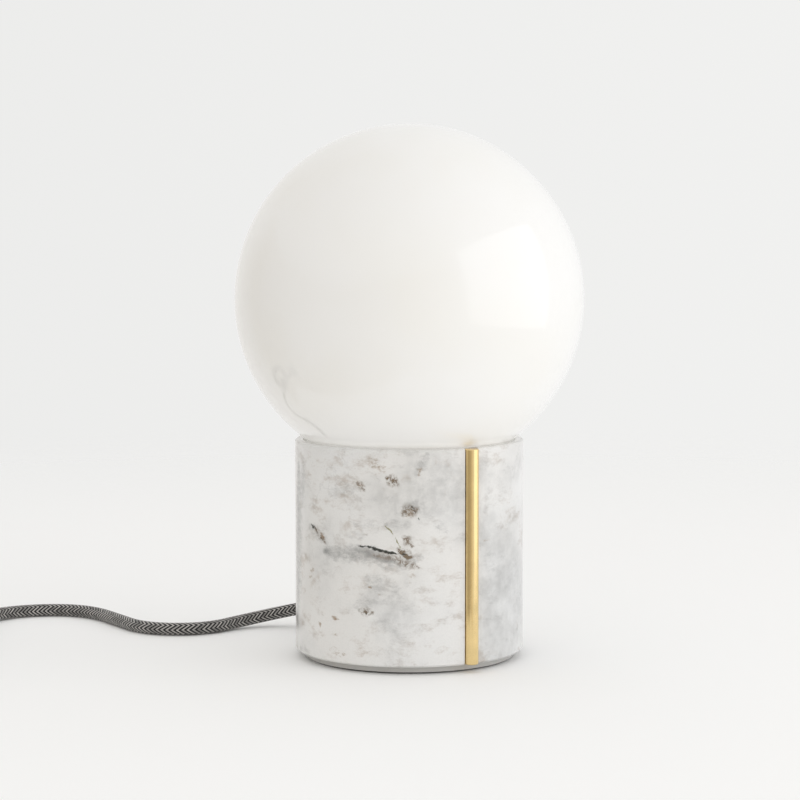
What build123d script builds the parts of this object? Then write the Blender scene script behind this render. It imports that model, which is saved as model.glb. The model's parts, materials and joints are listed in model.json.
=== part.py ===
from build123d import *
import math
import os

os.makedirs("parts", exist_ok=True)

# Table lamp: an opal glass globe resting in the open top of a marble cylinder, with a touch
# dimmer worked by a brass bar let into the marble. Millimetres, +Z up. The origin is on the
# table under the lamp's middle, the bar is at the front (-Y), the cord leaves at the back (+Y).

# --- marble base ---------------------------------------------------------------------------
BASE_R = 65.6  # outside of the cylinder
BASE_TOP = 126.0
FOOT_INSET = 5.4  # turned foot, which leaves a shadow line above the table
FOOT_HEIGHT = 4.5
PAD_THICK = 1.0
RIM_WALL = 5.0  # wall left at the open rim
SEAT_DEPTH = 6.0
CHAMBER_WALL = 9.6
CHAMBER_FLOOR = 44.0
WEB_THICK = 8.0  # stone left between the upper chamber and the lower pocket
POCKET_WALL = 12.6
TOP_ROUND = 1.6
BOTTOM_BEVEL = 1.1
RIM_BEVEL = 0.5
INNER_CORNER = 3.0  # left by the boring tool
# --- glass globe ---------------------------------------------------------------------------
GLOBE_R = 100.0
GLOBE_WALL = 3.0
RIM_GAP = 0.4  # open line between glass and rim
COLLAR_R = 42.0
COLLAR_LENGTH = 8.0
COLLAR_BEND = 4.0
COLLAR_LIP = 1.3
SEAT_GAP = 0.3  # glass to seat ring
SEAT_RING_INSET = 0.8
# --- brass bar -----------------------------------------------------------------------------
BAR_R = 4.0
BAR_SINK = 0.2  # bar's axis inside the marble's face
GROOVE_GAP = 0.4  # all round the bar, kept by its spacers
SPACER_R = 3.6
BAR_END_STEP = 0.3
BAR_END_ROUND = 0.7
STUD_R = 2.0
STUD_BITE = 3.8
STUD_HOLE_GAP = 0.3
STUD_LOW = 22.0
STUD_HIGH = 104.0
STUD_PROUD = 1.5  # stud past its nut
SADDLE_R = 5.5
SADDLE_THICK = 3.0
WASHER_R = 4.5
STUD_NUT_THICK = 3.2
STUD_NUT_R = 4.04  # across corners, halved
TAG_THICK = 0.8  # ring terminals
TAG_RING_R = 4.2
TAG_WIDTH = 3.0
TAG_REACH = 14.0
BARREL_R = 1.6
BARREL_LENGTH = 7.0
BARREL_SINK = 0.3  # barrel pressed into its tag
# --- centre tube and plates ----------------------------------------------------------------
TUBE_R = 5.0
TUBE_BORE_R = 3.9
TUBE_HOLE_GAP = 0.3
TUBE_BOTTOM = 3.0
LEAD_SLOT = (22.0, 33.0, 6.4)  # bottom, top and width of the slot where the leads go in
TUBE_NUT_R = 8.08
TUBE_NUT_THICK = 3.0
TUBE_WASHER_R = 8.6
WASHER_THICK = 0.8
EARTH_REACH = 20.0
EARTH_TAG_WIDTH = 4.0
PLATE_THICK = 2.5
PLATE_LEDGE = 3.0  # stone ledge that the bottom plate seats on
PLATE_GAP = 0.3
WELL_R = 11.0
WELL_RISE = 7.0  # raised middle of the plate, which hides the bottom nut
WELL_SLOPE = 4.4
WELL_WALL = 1.6  # the sloped side's thickness, measured level
PAD_INSET = 1.5
PAD_HOLE_R = 24.0
CARRIER_R = 30.0
CARRIER_THICK = 1.5
# --- lampholder and bulb -------------------------------------------------------------------
HOLDER_BOTTOM = 56.0
BOSS_R = 7.4
BOSS_LENGTH = 8.0
BOSS_SHOULDER = 2.0
HOLDER_R = 19.5
HOLDER_WALL = 2.0
HOLDER_TAPER = 0.8
HOLDER_BEND = 3.0
CAP_TOP = 76.0
CORE_BOTTOM = 68.0
CORE_THICK = 9.0
CORE_ROOF = 2.0  # porcelain over the bore that the leads come up
CORE_STEP = 2.5
SHELL_BORE_R = 13.6
SHELL_WALL = 0.6
SHELL_LENGTH = 25.0
SHELL_FLANGE = 2.0
SHELL_GAP = 0.8  # shell to the lampholder's body
HOLDER_TOP = 107.0
GRIP_RIBS = 24
GRIP_R = 1.3
GRIP_DEPTH = 0.7
GRIP_LENGTH = 14.0
CONTACT = (5.0, 12.0, 1.6)
BULB_GAP = 0.3  # bulb's tip to the centre contact
TIP_R = 4.8
TIP_HEIGHT = 1.6
TIP_ROUND = 1.2
INSULATOR_R = 6.0
INSULATOR_RISE = 2.6
INSULATOR_PLUG = 3.0
BULB_CAP_R = 13.1
BULB_CAP_LENGTH = 21.0
BULB_CAP_WALL = 0.5
NECK_R = 13.7
NECK_BEND = 50.0
BULB_R = 30.0
BULB_LENGTH = 105.0
BULB_WALL = 1.2
# --- inside the lower pocket ---------------------------------------------------------------
DIMMER = (20.0, 40.0, 16.0)
DIMMER_WALL_GAP = 2.0
TERMINALS = (20.0, 14.0, 11.0)
TERMINAL_WALL_GAP = 4.0
TERMINAL_PITCH = 6.0
TERMINAL_WELL_R = 1.7
TERMINAL_WELL_DEPTH = 2.5
CORE_R = 1.1
CORE_PITCH = 2.4
LEAD_R = 1.0
LEAD_SPACING = 3.4
LEAD_CROSSING_Z = 16.0  # where the dimmer's leads pass over the earth tag
CLAMP = (28.0, 10.0)
CLAMP_INSET = 14.0  # clamp's middle from the pocket wall
CLAMP_GRIP = 0.5  # half the gap between the clamp's halves
CLAMP_BAR = (28.0, 8.0, 6.0)
CLAMP_SCREW_R = 1.5
CLAMP_SCREW_BITE = 1.5
CLAMP_SCREW_HEAD = (2.8, 2.0)
CLAMP_SCREW_X = 9.5
SHEATH_END_GAP = 2.5  # cord's cut end past the clamp
# --- cord ----------------------------------------------------------------------------------
CORD_R = 3.8
CORD_EXIT_Z = 15.5
CORD_HOLE_R = 6.5
GLAND_GAP = 0.1
GLAND_OUT = 16.0
GLAND_FLANGE = (9.0, 2.2)
GLAND_TAIL_R = (7.2, 5.2)
GLAND_LIP = (8.0, 3.2)
GLAND_GROOVES = 4
GLAND_CORE_R = 4.7  # rubber left under the grooves
CORD_GAP = 0.6  # between neighbouring turns of the coil
COIL_TURNS = 5.0
COIL_OUT_R = 53.5
COIL_TAIL = 14.0
COIL_TAIL_BEND = 38.0
TIE_WIDTH = 11.0
TIE_THICK = 1.0  # the strap passes under the coil, whose route lies that much higher
TIE_GAP = 0.1
# --- plug ----------------------------------------------------------------------------------
PLUG_R = 18.4
PLUG_LENGTH = 34.0
PLUG_GRIP_SHARE = 0.45  # of the length, before the round head
PLUG_GRIP_R = (9.5, 14.0)
PLUG_ROUND = 1.5
PLUG_BOOT = 26.0
BOOT_R = (5.4, 8.0)
BOOT_GROOVES = 4
BOOT_PITCH = 5.0
BOOT_GROOVE = 2.0
BOOT_CORE_R = 4.8
PIN_R = 2.4
PIN_LENGTH = 19.0
PIN_SPACING = 19.0
PIN_ROUND = 1.6
CLIP = (5.0, 1.0, 15.5)
CLIP_SLOT = (8.0, 3.2, 17.0)
EARTH_HOLE_R = 2.6
EARTH_HOLE_OFFSET = 7.5

# The cord's route on the table from the gland to the coil, chosen by hand. Its last run is
# level and gives the direction in which the coil starts.
ROUTE = [
    (0.0, 102.6, 15.5),
    (-11.6, 122.5, 10.2),
    (-33.9, 132.6, 5.0),
    (-68.2, 126.3, 3.8),
    (-88.2, 133.4, 3.8),
    (-101.7, 149.2, 3.8),
    (-105.7, 169.6, 3.8),
    (-99.6, 200.6, 3.8),
    (-116.6, 227.2, 3.8),
    (-147.3, 234.6, 3.8),
    (-174.7, 220.1, 4.9),
    (-194.6, 203.4, 4.9),
]

# --- derived places ------------------------------------------------------------------------
FOOT_R = BASE_R - FOOT_INSET
SEAT_R = BASE_R - RIM_WALL
SEAT_Z = BASE_TOP - SEAT_DEPTH
CHAMBER_R = BASE_R - CHAMBER_WALL
POCKET_R = BASE_R - POCKET_WALL
POCKET_ROOF = CHAMBER_FLOOR - WEB_THICK
PLATE_TOP = PAD_THICK + PLATE_THICK
PLATE_R = POCKET_R + PLATE_LEDGE
WELL_TOP = PLATE_TOP + WELL_RISE
GLOBE_Z = BASE_TOP + math.sqrt(GLOBE_R**2 - (SEAT_R - RIM_GAP) ** 2)
COLLAR_TOP = GLOBE_Z - math.sqrt(GLOBE_R**2 - COLLAR_R**2)
COLLAR_BOTTOM = COLLAR_TOP - COLLAR_LENGTH
BAR_Y = -(BASE_R - BAR_SINK)
CORE_TOP = CORE_BOTTOM + CORE_THICK
CONTACT_TOP = CORE_TOP + CONTACT[2]
BULB_BOTTOM = CONTACT_TOP + BULB_GAP
INSULATOR_BOTTOM = BULB_BOTTOM + TIP_HEIGHT
BULB_CAP_BOTTOM = INSULATOR_BOTTOM + INSULATOR_RISE
BULB_CAP_TOP = BULB_CAP_BOTTOM + BULB_CAP_LENGTH
BULB_TOP = BULB_BOTTOM + BULB_LENGTH
GLAND_END = BASE_R + GLAND_OUT
CLAMP_Y = POCKET_R - CLAMP_INSET
SHEATH_END = CLAMP_Y - CLAMP[1] / 2 - SHEATH_END_GAP
DIMMER_X = DIMMER_WALL_GAP + DIMMER[0] / 2 - math.sqrt(POCKET_R**2 - (DIMMER[1] / 2) ** 2)
DIMMER_TOP = PLATE_TOP + DIMMER[2]
TERMINAL_X = POCKET_R - TERMINALS[0] / 2 - TERMINAL_WALL_GAP
TERMINAL_XS = [TERMINAL_X + k * TERMINAL_PITCH for k in (-1, 0, 1)]
TERMINAL_WIRE_Z = PLATE_TOP + 0.6 * TERMINALS[2]
COIL_PITCH = 2 * CORD_R + CORD_GAP

pieces = {}


def piece(name, *shapes):
    """Keeps finished solids under one name; like pieces stay separate solids in a group."""
    solids = [solid for shape in shapes for solid in shape.solids()]
    pieces[name] = solids[0] if len(solids) == 1 else Compound(children=solids)


def turned(*points):
    """A ring or disc turned about Z from an outline of (radius, height) points."""
    outline = make_face(Plane.XZ * Polyline(*points, close=True))
    return revolve(outline, Axis.Z)


def tube(radius, bore, low, high):
    return turned((bore, low), (radius, low), (radius, high), (bore, high))


def rod(radius, start, end):
    """A round rod between two points."""
    start, end = Vector(start), Vector(end)
    return extrude(Plane(start, z_dir=end - start) * Circle(radius), (end - start).length)


def rod_y(radius, low, high, x=0.0, z=0.0):
    """A round rod along Y."""
    return rod(radius, (x, low, z), (x, high, z))


def rings(shape, radius, height):
    """The round edges of a turned piece at a radius and a height."""
    return [
        e
        for e in shape.edges().filter_by(GeomType.CIRCLE)
        if abs(e.radius - radius) < 0.01 and abs(e.center().Z - height) < 0.01
    ]


def hex_nut(corner_r, hole_r, thick):
    """A hexagon nut standing on the XY plane, with its corners turned down on both faces."""
    face_r = 0.875 * corner_r
    drop = 0.6 * (corner_r - face_r)
    envelope = turned(
        (0, 0), (face_r, 0), (corner_r, drop), (corner_r, thick - drop), (face_r, thick), (0, thick)
    )
    return extrude(RegularPolygon(corner_r, 6) - Circle(hole_r), thick) & envelope


def wire(radius, *points, bend=3.0):
    """An insulated wire along straight runs with rounded corners."""
    path = FilletPolyline(*points, radius=bend)
    return sweep(Plane(path @ 0, z_dir=path % 0) * Circle(radius), path=path)


# --- marble --------------------------------------------------------------------------------
def groove():
    """The space that the bar lies in, from below the marble to above its rim."""
    return rod(BAR_R + GROOVE_GAP, (0, BAR_Y, PAD_THICK), (0, BAR_Y, BASE_TOP + 1))


def marble_body():
    body = turned(
        (TUBE_R + TUBE_HOLE_GAP, POCKET_ROOF),
        (POCKET_R, POCKET_ROOF),
        (POCKET_R, PLATE_TOP),
        (PLATE_R + PLATE_GAP, PLATE_TOP),
        (PLATE_R + PLATE_GAP, PAD_THICK),
        (FOOT_R, PAD_THICK),
        (FOOT_R, FOOT_HEIGHT),
        (BASE_R, FOOT_HEIGHT),
        (BASE_R, BASE_TOP),
        (SEAT_R, BASE_TOP),
        (SEAT_R, SEAT_Z),
        (CHAMBER_R, SEAT_Z),
        (CHAMBER_R, CHAMBER_FLOOR),
        (TUBE_R + TUBE_HOLE_GAP, CHAMBER_FLOOR),
    )
    body = fillet(rings(body, BASE_R, BASE_TOP), TOP_ROUND)
    body = chamfer(rings(body, BASE_R, FOOT_HEIGHT), BOTTOM_BEVEL)
    body = chamfer(rings(body, SEAT_R, BASE_TOP), RIM_BEVEL)
    corners = rings(body, CHAMBER_R, CHAMBER_FLOOR) + rings(body, POCKET_R, POCKET_ROOF)
    body = fillet(corners, INNER_CORNER)
    body -= groove()
    for z in (STUD_LOW, STUD_HIGH):
        body -= rod_y(STUD_R + STUD_HOLE_GAP, BAR_Y, -POCKET_R / 2, z=z)
    return body - rod_y(CORD_HOLE_R, POCKET_R / 2, BASE_R + 1, z=CORD_EXIT_Z)


# --- globe ---------------------------------------------------------------------------------
def glass_globe():
    """A blown ball with a short open collar at the bottom and a fire-polished lip."""
    inner_r = GLOBE_R - GLOBE_WALL
    collar_bore = COLLAR_R - GLOBE_WALL
    inner_join = GLOBE_Z - math.sqrt(inner_r**2 - collar_bore**2)
    top, inner_top = (0, 0, GLOBE_Z + GLOBE_R), (0, 0, GLOBE_Z + inner_r)
    bend, inner_bend = (COLLAR_R, 0, COLLAR_TOP), (collar_bore, 0, inner_join)
    outline = [
        Line(inner_top, top),
        ThreePointArc(top, (GLOBE_R, 0, GLOBE_Z), bend),
        Polyline(bend, (COLLAR_R, 0, COLLAR_BOTTOM), (collar_bore, 0, COLLAR_BOTTOM), inner_bend),
        ThreePointArc(inner_bend, (inner_r, 0, GLOBE_Z), inner_top),
    ]
    globe = revolve(make_face(outline), Axis.Z)
    bends = rings(globe, COLLAR_R, COLLAR_TOP) + rings(globe, collar_bore, inner_join)
    globe = fillet(bends, COLLAR_BEND)
    lip = rings(globe, COLLAR_R, COLLAR_BOTTOM) + rings(globe, collar_bore, COLLAR_BOTTOM)
    return fillet(lip, COLLAR_LIP)


def seat_ring():
    """A clear silicone ring on the marble's ledge, its top sloped to the glass it carries."""
    inner, outer = CHAMBER_R + SEAT_RING_INSET, SEAT_R

    def glass_z(radius):
        return GLOBE_Z - math.sqrt((GLOBE_R + SEAT_GAP) ** 2 - radius**2)

    ring = turned((inner, SEAT_Z), (outer, SEAT_Z), (outer, glass_z(outer)), (inner, glass_z(inner)))
    return ring - groove()


# --- brass bar and its fixings -------------------------------------------------------------
def brass_bar():
    low, high = FOOT_HEIGHT + BAR_END_STEP, BASE_TOP - BAR_END_STEP
    bar = rod(BAR_R, (0, BAR_Y, low), (0, BAR_Y, high))
    bar = fillet(bar.edges().filter_by(GeomType.CIRCLE), BAR_END_ROUND)
    for z in (STUD_LOW, STUD_HIGH):
        bar -= rod_y(STUD_R, BAR_Y + BAR_R - STUD_BITE, BAR_Y + 2 * BAR_R, z=z)
    return bar


def bar_fixings():
    """Studs from the bar through the stone, each with a spacer, saddle, washer or tag, and nut."""
    studs, spacers, saddles, nuts = [], [], [], []
    groove_end = BAR_Y + BAR_R + GROOVE_GAP
    for z, bore_r in ((STUD_LOW, POCKET_R), (STUD_HIGH, CHAMBER_R)):
        saddle_y = -(bore_r - SADDLE_THICK)
        nut_y = saddle_y + TAG_THICK
        stud = rod_y(STUD_R, BAR_Y + BAR_R - STUD_BITE, nut_y + STUD_NUT_THICK + STUD_PROUD, z=z)
        studs.append(stud)
        gap = Pos(0, BAR_Y) * tube(BAR_R + GROOVE_GAP, BAR_R, z - SPACER_R, z + SPACER_R)
        spacers.append((gap & rod_y(SPACER_R, BAR_Y, groove_end, z=z)) - stud)
        saddle = rod_y(SADDLE_R, -bore_r - 1, saddle_y, z=z)
        saddle &= Pos(0, 0, z) * Cylinder(bore_r, 4 * SADDLE_R)
        saddles.append(saddle - stud)
        facing_back = Plane((0, nut_y, z), x_dir=(1, 0, 0), z_dir=(0, 1, 0))
        nuts.append(facing_back * hex_nut(STUD_NUT_R, STUD_R, STUD_NUT_THICK))
    piece("bar_studs", *studs)
    piece("bar_spacers", *spacers)
    piece("bar_saddles", *saddles)
    piece("bar_nuts", *nuts)
    upper = -(CHAMBER_R - SADDLE_THICK)
    piece("bar_washer", rod_y(WASHER_R, upper, upper + TAG_THICK, z=STUD_HIGH) - studs[1])


def sensor_tag():
    """A ring terminal behind the lower stud's nut, with its barrel for the sensor wire."""
    y = -(POCKET_R - SADDLE_THICK)
    tag = rod_y(TAG_RING_R, y, y + TAG_THICK, z=STUD_LOW)
    tag += Pos(-TAG_REACH / 2, y + TAG_THICK / 2, STUD_LOW) * Box(TAG_REACH, TAG_THICK, TAG_WIDTH)
    tag -= rod_y(STUD_R, y - 1, y + 2 * TAG_THICK, z=STUD_LOW)
    end = Vector(-TAG_REACH, y + TAG_THICK + BARREL_R - BARREL_SINK, STUD_LOW)
    return tag + rod(BARREL_R, end, end + Vector(BARREL_LENGTH, 0, 0)), end


# --- plates, pad, tube and nuts ------------------------------------------------------------
def bottom_plate():
    """A pressed steel plate whose raised middle takes the bottom nut clear of the table."""
    hole = TUBE_R + TUBE_HOLE_GAP
    return turned(
        (hole, WELL_TOP - PLATE_THICK),
        (WELL_R, WELL_TOP - PLATE_THICK),
        (WELL_R + WELL_SLOPE, PAD_THICK),
        (PLATE_R, PAD_THICK),
        (PLATE_R, PLATE_TOP),
        (WELL_R + WELL_SLOPE + WELL_WALL, PLATE_TOP),
        (WELL_R + WELL_WALL, WELL_TOP),
        (hole, WELL_TOP),
    )


def central_tube():
    body = tube(TUBE_R, TUBE_BORE_R, TUBE_BOTTOM, HOLDER_BOTTOM + BOSS_LENGTH)
    low, high, width = LEAD_SLOT
    return body - Pos(-TUBE_R, 0, (low + high) / 2) * Box(2 * TUBE_R, width, high - low)


def tube_nuts_and_washers():
    """Nuts under the plate, over it, over the carrier disc and under the lampholder."""
    under_plate = WELL_TOP - PLATE_THICK
    carrier_top = CHAMBER_FLOOR + CARRIER_THICK
    washers = [under_plate - WASHER_THICK, carrier_top]
    nuts = [
        under_plate - WASHER_THICK - TUBE_NUT_THICK,
        WELL_TOP + TAG_THICK,
        carrier_top + WASHER_THICK,
        HOLDER_BOTTOM - TUBE_NUT_THICK,
    ]
    piece("tube_washers", *(tube(TUBE_WASHER_R, TUBE_R, z, z + WASHER_THICK) for z in washers))
    piece("tube_nuts", *(Pos(0, 0, z) * hex_nut(TUBE_NUT_R, TUBE_R, TUBE_NUT_THICK) for z in nuts))


def earth_tag():
    """A ring terminal on the centre tube, which earths the metal parts."""
    tag = tube(TUBE_WASHER_R, TUBE_R, WELL_TOP, WELL_TOP + TAG_THICK)
    arm = Box(EARTH_TAG_WIDTH, EARTH_REACH - TUBE_R, TAG_THICK)
    tag += Pos(0, -(TUBE_R + EARTH_REACH) / 2, WELL_TOP + TAG_THICK / 2) * arm
    tag -= tube(TUBE_R, 0, WELL_TOP - 1, WELL_TOP + 2 * TAG_THICK)
    end = Vector(0, -EARTH_REACH, WELL_TOP + TAG_THICK + BARREL_R - BARREL_SINK)
    return tag + rod(BARREL_R, end, end + Vector(0, BARREL_LENGTH, 0)), end


# --- lampholder ----------------------------------------------------------------------------
def lampholder():
    """Cap on the tube, ribbed body, porcelain core, threaded shell and centre contact."""
    inner = HOLDER_R - HOLDER_WALL
    shoulder = HOLDER_BOTTOM + BOSS_LENGTH
    cap = turned(
        (TUBE_R, HOLDER_BOTTOM),
        (BOSS_R, HOLDER_BOTTOM),
        (BOSS_R, shoulder - BOSS_SHOULDER),
        (HOLDER_R, CORE_BOTTOM),
        (HOLDER_R, CAP_TOP),
        (inner, CAP_TOP),
        (inner, CORE_BOTTOM),
        (BOSS_R, shoulder),
        (TUBE_R, shoulder),
    )
    piece("lampholder_cap", fillet(rings(cap, HOLDER_R, CORE_BOTTOM), HOLDER_BEND))

    shell_r = SHELL_BORE_R + SHELL_WALL
    top_r = HOLDER_R - HOLDER_TAPER
    body = turned(
        (shell_r + SHELL_GAP, CORE_TOP + HOLDER_WALL),
        (inner, CORE_TOP),
        (inner, CAP_TOP),
        (HOLDER_R, CAP_TOP),
        (top_r, HOLDER_TOP),
        (shell_r + SHELL_GAP, HOLDER_TOP),
    )
    body = fillet(rings(body, top_r, HOLDER_TOP), HOLDER_WALL / 2)
    groove_z = CAP_TOP + HOLDER_WALL + GRIP_LENGTH / 2
    for place in PolarLocations(HOLDER_R + GRIP_R - GRIP_DEPTH, GRIP_RIBS):
        body -= place * Pos(0, 0, groove_z) * Cylinder(GRIP_R, GRIP_LENGTH)
    piece("lampholder_body", body)

    core = turned(
        (TUBE_BORE_R, CORE_BOTTOM),
        (inner, CORE_BOTTOM),
        (inner, CORE_TOP - CORE_ROOF),
        (inner - CORE_STEP, CORE_TOP - CORE_ROOF),
        (inner - CORE_STEP, CORE_TOP),
        (0, CORE_TOP),
        (0, CORE_TOP - CORE_ROOF),
        (TUBE_BORE_R, CORE_TOP - CORE_ROOF),
    )
    piece("lampholder_core", core)
    shell = turned(
        (SHELL_BORE_R - SHELL_FLANGE, CORE_TOP),
        (shell_r, CORE_TOP),
        (shell_r, CORE_TOP + SHELL_LENGTH),
        (SHELL_BORE_R, CORE_TOP + SHELL_LENGTH),
        (SHELL_BORE_R, CORE_TOP + SHELL_WALL),
        (SHELL_BORE_R - SHELL_FLANGE, CORE_TOP + SHELL_WALL),
    )
    piece("screw_shell", shell)
    tongue = Pos(0, 0, (CORE_TOP + CONTACT_TOP) / 2) * Box(*CONTACT)
    piece("centre_contact", fillet(tongue.edges().filter_by(Axis.X).group_by(Axis.Z)[-1], 0.7))


# --- bulb ----------------------------------------------------------------------------------
def bulb_glass():
    """A pear-shaped opal shell: its side leaves the neck upright and meets the round end."""
    centre_z = BULB_TOP - BULB_R
    across = NECK_BEND + NECK_R
    rise = math.sqrt((NECK_BEND + BULB_R) ** 2 - across**2)
    side_z = centre_z - rise
    share = BULB_R / (BULB_R + NECK_BEND)
    half_turn = math.atan2(rise, across) / 2

    def skin(depth):
        """The outline at a depth below the outer face, from the cap to the top."""
        neck, end_r, side_r = NECK_R - depth, BULB_R - depth, NECK_BEND + depth
        slip = depth / (BULB_R + NECK_BEND)
        meet = (across * (share - slip), 0, centre_z - rise * (share - slip))
        side_mid = (across - side_r * math.cos(half_turn), 0, side_z + side_r * math.sin(half_turn))
        end_angle = (math.pi / 2 - math.atan2(rise, across)) / 2
        end_mid = (end_r * math.cos(end_angle), 0, centre_z + end_r * math.sin(end_angle))
        return [
            Line((neck, 0, BULB_CAP_TOP), (neck, 0, side_z)),
            ThreePointArc((neck, 0, side_z), side_mid, meet),
            ThreePointArc(meet, end_mid, (0, 0, centre_z + end_r)),
        ]

    ends = [
        Line((0, 0, BULB_TOP), (0, 0, BULB_TOP - BULB_WALL)),
        Line((NECK_R - BULB_WALL, 0, BULB_CAP_TOP), (NECK_R, 0, BULB_CAP_TOP)),
    ]
    return revolve(make_face(skin(0) + skin(BULB_WALL) + ends), Axis.Z)


def bulb_base():
    """Screw cap with its rim under the glass, black glass insulator and solder tip."""
    bore = BULB_CAP_R - BULB_CAP_WALL
    neck_bore = NECK_R - BULB_WALL
    cap = turned(
        (BULB_CAP_R, BULB_CAP_BOTTOM),
        (BULB_CAP_R, BULB_CAP_TOP),
        (neck_bore - 1, BULB_CAP_TOP),
        (neck_bore - 1, BULB_CAP_TOP - BULB_CAP_WALL),
        (bore, BULB_CAP_TOP - BULB_CAP_WALL),
        (bore, BULB_CAP_BOTTOM),
    )
    piece("bulb_cap", cap)
    insulator = turned(
        (0, INSULATOR_BOTTOM),
        (INSULATOR_R, INSULATOR_BOTTOM),
        (bore, BULB_CAP_BOTTOM),
        (bore, BULB_CAP_BOTTOM + INSULATOR_PLUG),
        (0, BULB_CAP_BOTTOM + INSULATOR_PLUG),
    )
    piece("bulb_insulator", insulator)
    tip = tube(TIP_R, 0, BULB_BOTTOM, INSULATOR_BOTTOM)
    piece("bulb_tip", fillet(rings(tip, TIP_R, BULB_BOTTOM), TIP_ROUND))


# --- dimmer, terminals and clamp -----------------------------------------------------------
def dimmer_module():
    side_round, top_round = 2.5, 1.2
    box = Pos(DIMMER_X, 0, PLATE_TOP + DIMMER[2] / 2) * Box(*DIMMER)
    box = fillet(box.edges().filter_by(Axis.Z), side_round)
    return fillet(box.faces().sort_by(Axis.Z)[-1].edges(), top_round)


def terminal_block():
    """A three-way connector with a screw well over each way."""
    length, depth, height = TERMINALS
    top = PLATE_TOP + height
    block = Pos(TERMINAL_X, 0, PLATE_TOP + height / 2) * Box(length, depth, height)
    block = chamfer(block.faces().sort_by(Axis.Z)[-1].edges().filter_by(Axis.X), height / 5)
    for x in TERMINAL_XS:
        block -= rod(TERMINAL_WELL_R, (x, 0, top - TERMINAL_WELL_DEPTH), (x, 0, top + 1))
    return block


def cord_clamp():
    """A saddle on the bottom plate and a bar screwed down across the cord."""
    length, depth = CLAMP
    cord = rod_y(CORD_R, 0, BASE_R, z=CORD_EXIT_Z)
    saddle_top = CORD_EXIT_Z - CLAMP_GRIP
    bar_low = CORD_EXIT_Z + CLAMP_GRIP
    bar_top = bar_low + CLAMP_BAR[2]
    saddle = Pos(0, CLAMP_Y, (PLATE_TOP + saddle_top) / 2) * Box(length, depth, saddle_top - PLATE_TOP)
    bar = Pos(0, CLAMP_Y, (bar_low + bar_top) / 2) * Box(*CLAMP_BAR)
    bar = fillet(bar.edges().filter_by(Axis.Z), CLAMP_BAR[1] / 4)
    head_r, head_thick = CLAMP_SCREW_HEAD
    screws = []
    for x in (-CLAMP_SCREW_X, CLAMP_SCREW_X):
        shank = rod(CLAMP_SCREW_R, (x, CLAMP_Y, PLATE_TOP + CLAMP_SCREW_BITE), (x, CLAMP_Y, bar_top))
        head = rod(head_r, (x, CLAMP_Y, bar_top), (x, CLAMP_Y, bar_top + head_thick))
        saddle -= shank
        bar -= shank
        screws.append(shank + fillet(head.edges().sort_by(Axis.Z)[-1], head_thick / 2.5))
    piece("clamp_saddle", saddle - cord)
    piece("clamp_bar", bar - cord)
    piece("clamp_screws", *screws)


# --- gland and inner wiring ----------------------------------------------------------------
def cord_gland():
    """A rubber gland: lip inside the wall, neck through it, flange, and a grooved taper."""
    flange_r, flange_thick = GLAND_FLANGE
    lip_r, lip_thick = GLAND_LIP
    start_r, end_r = GLAND_TAIL_R
    z = CORD_EXIT_Z
    tail_start, tail_length = BASE_R + flange_thick, GLAND_OUT - flange_thick
    lip = rod_y(lip_r, POCKET_R - lip_thick, POCKET_R + 1, z=z) & Pos(0, 0, z) * Cylinder(POCKET_R, 4 * lip_r)
    neck = rod_y(CORD_HOLE_R - GLAND_GAP, POCKET_R - lip_thick, tail_start, z=z)
    flange = rod_y(flange_r, 0, tail_start, z=z) - Pos(0, 0, z) * Cylinder(BASE_R, 4 * flange_r)
    along_y = Plane((0, tail_start, z), x_dir=(1, 0, 0), z_dir=(0, 1, 0))
    tail = along_y * Pos(0, 0, tail_length / 2) * Cone(start_r, end_r, tail_length)
    gland = lip + neck + flange + tail
    pitch = tail_length / (GLAND_GROOVES + 0.5)
    for k in range(GLAND_GROOVES):
        low, high = tail_start + pitch * (k + 0.6), tail_start + pitch * (k + 1)
        gland -= rod_y(2 * start_r, low, high, z=z) - rod_y(GLAND_CORE_R, low, high, z=z)
    return gland - rod_y(CORD_R, 0, GLAND_END + 1, z=z)


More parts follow.
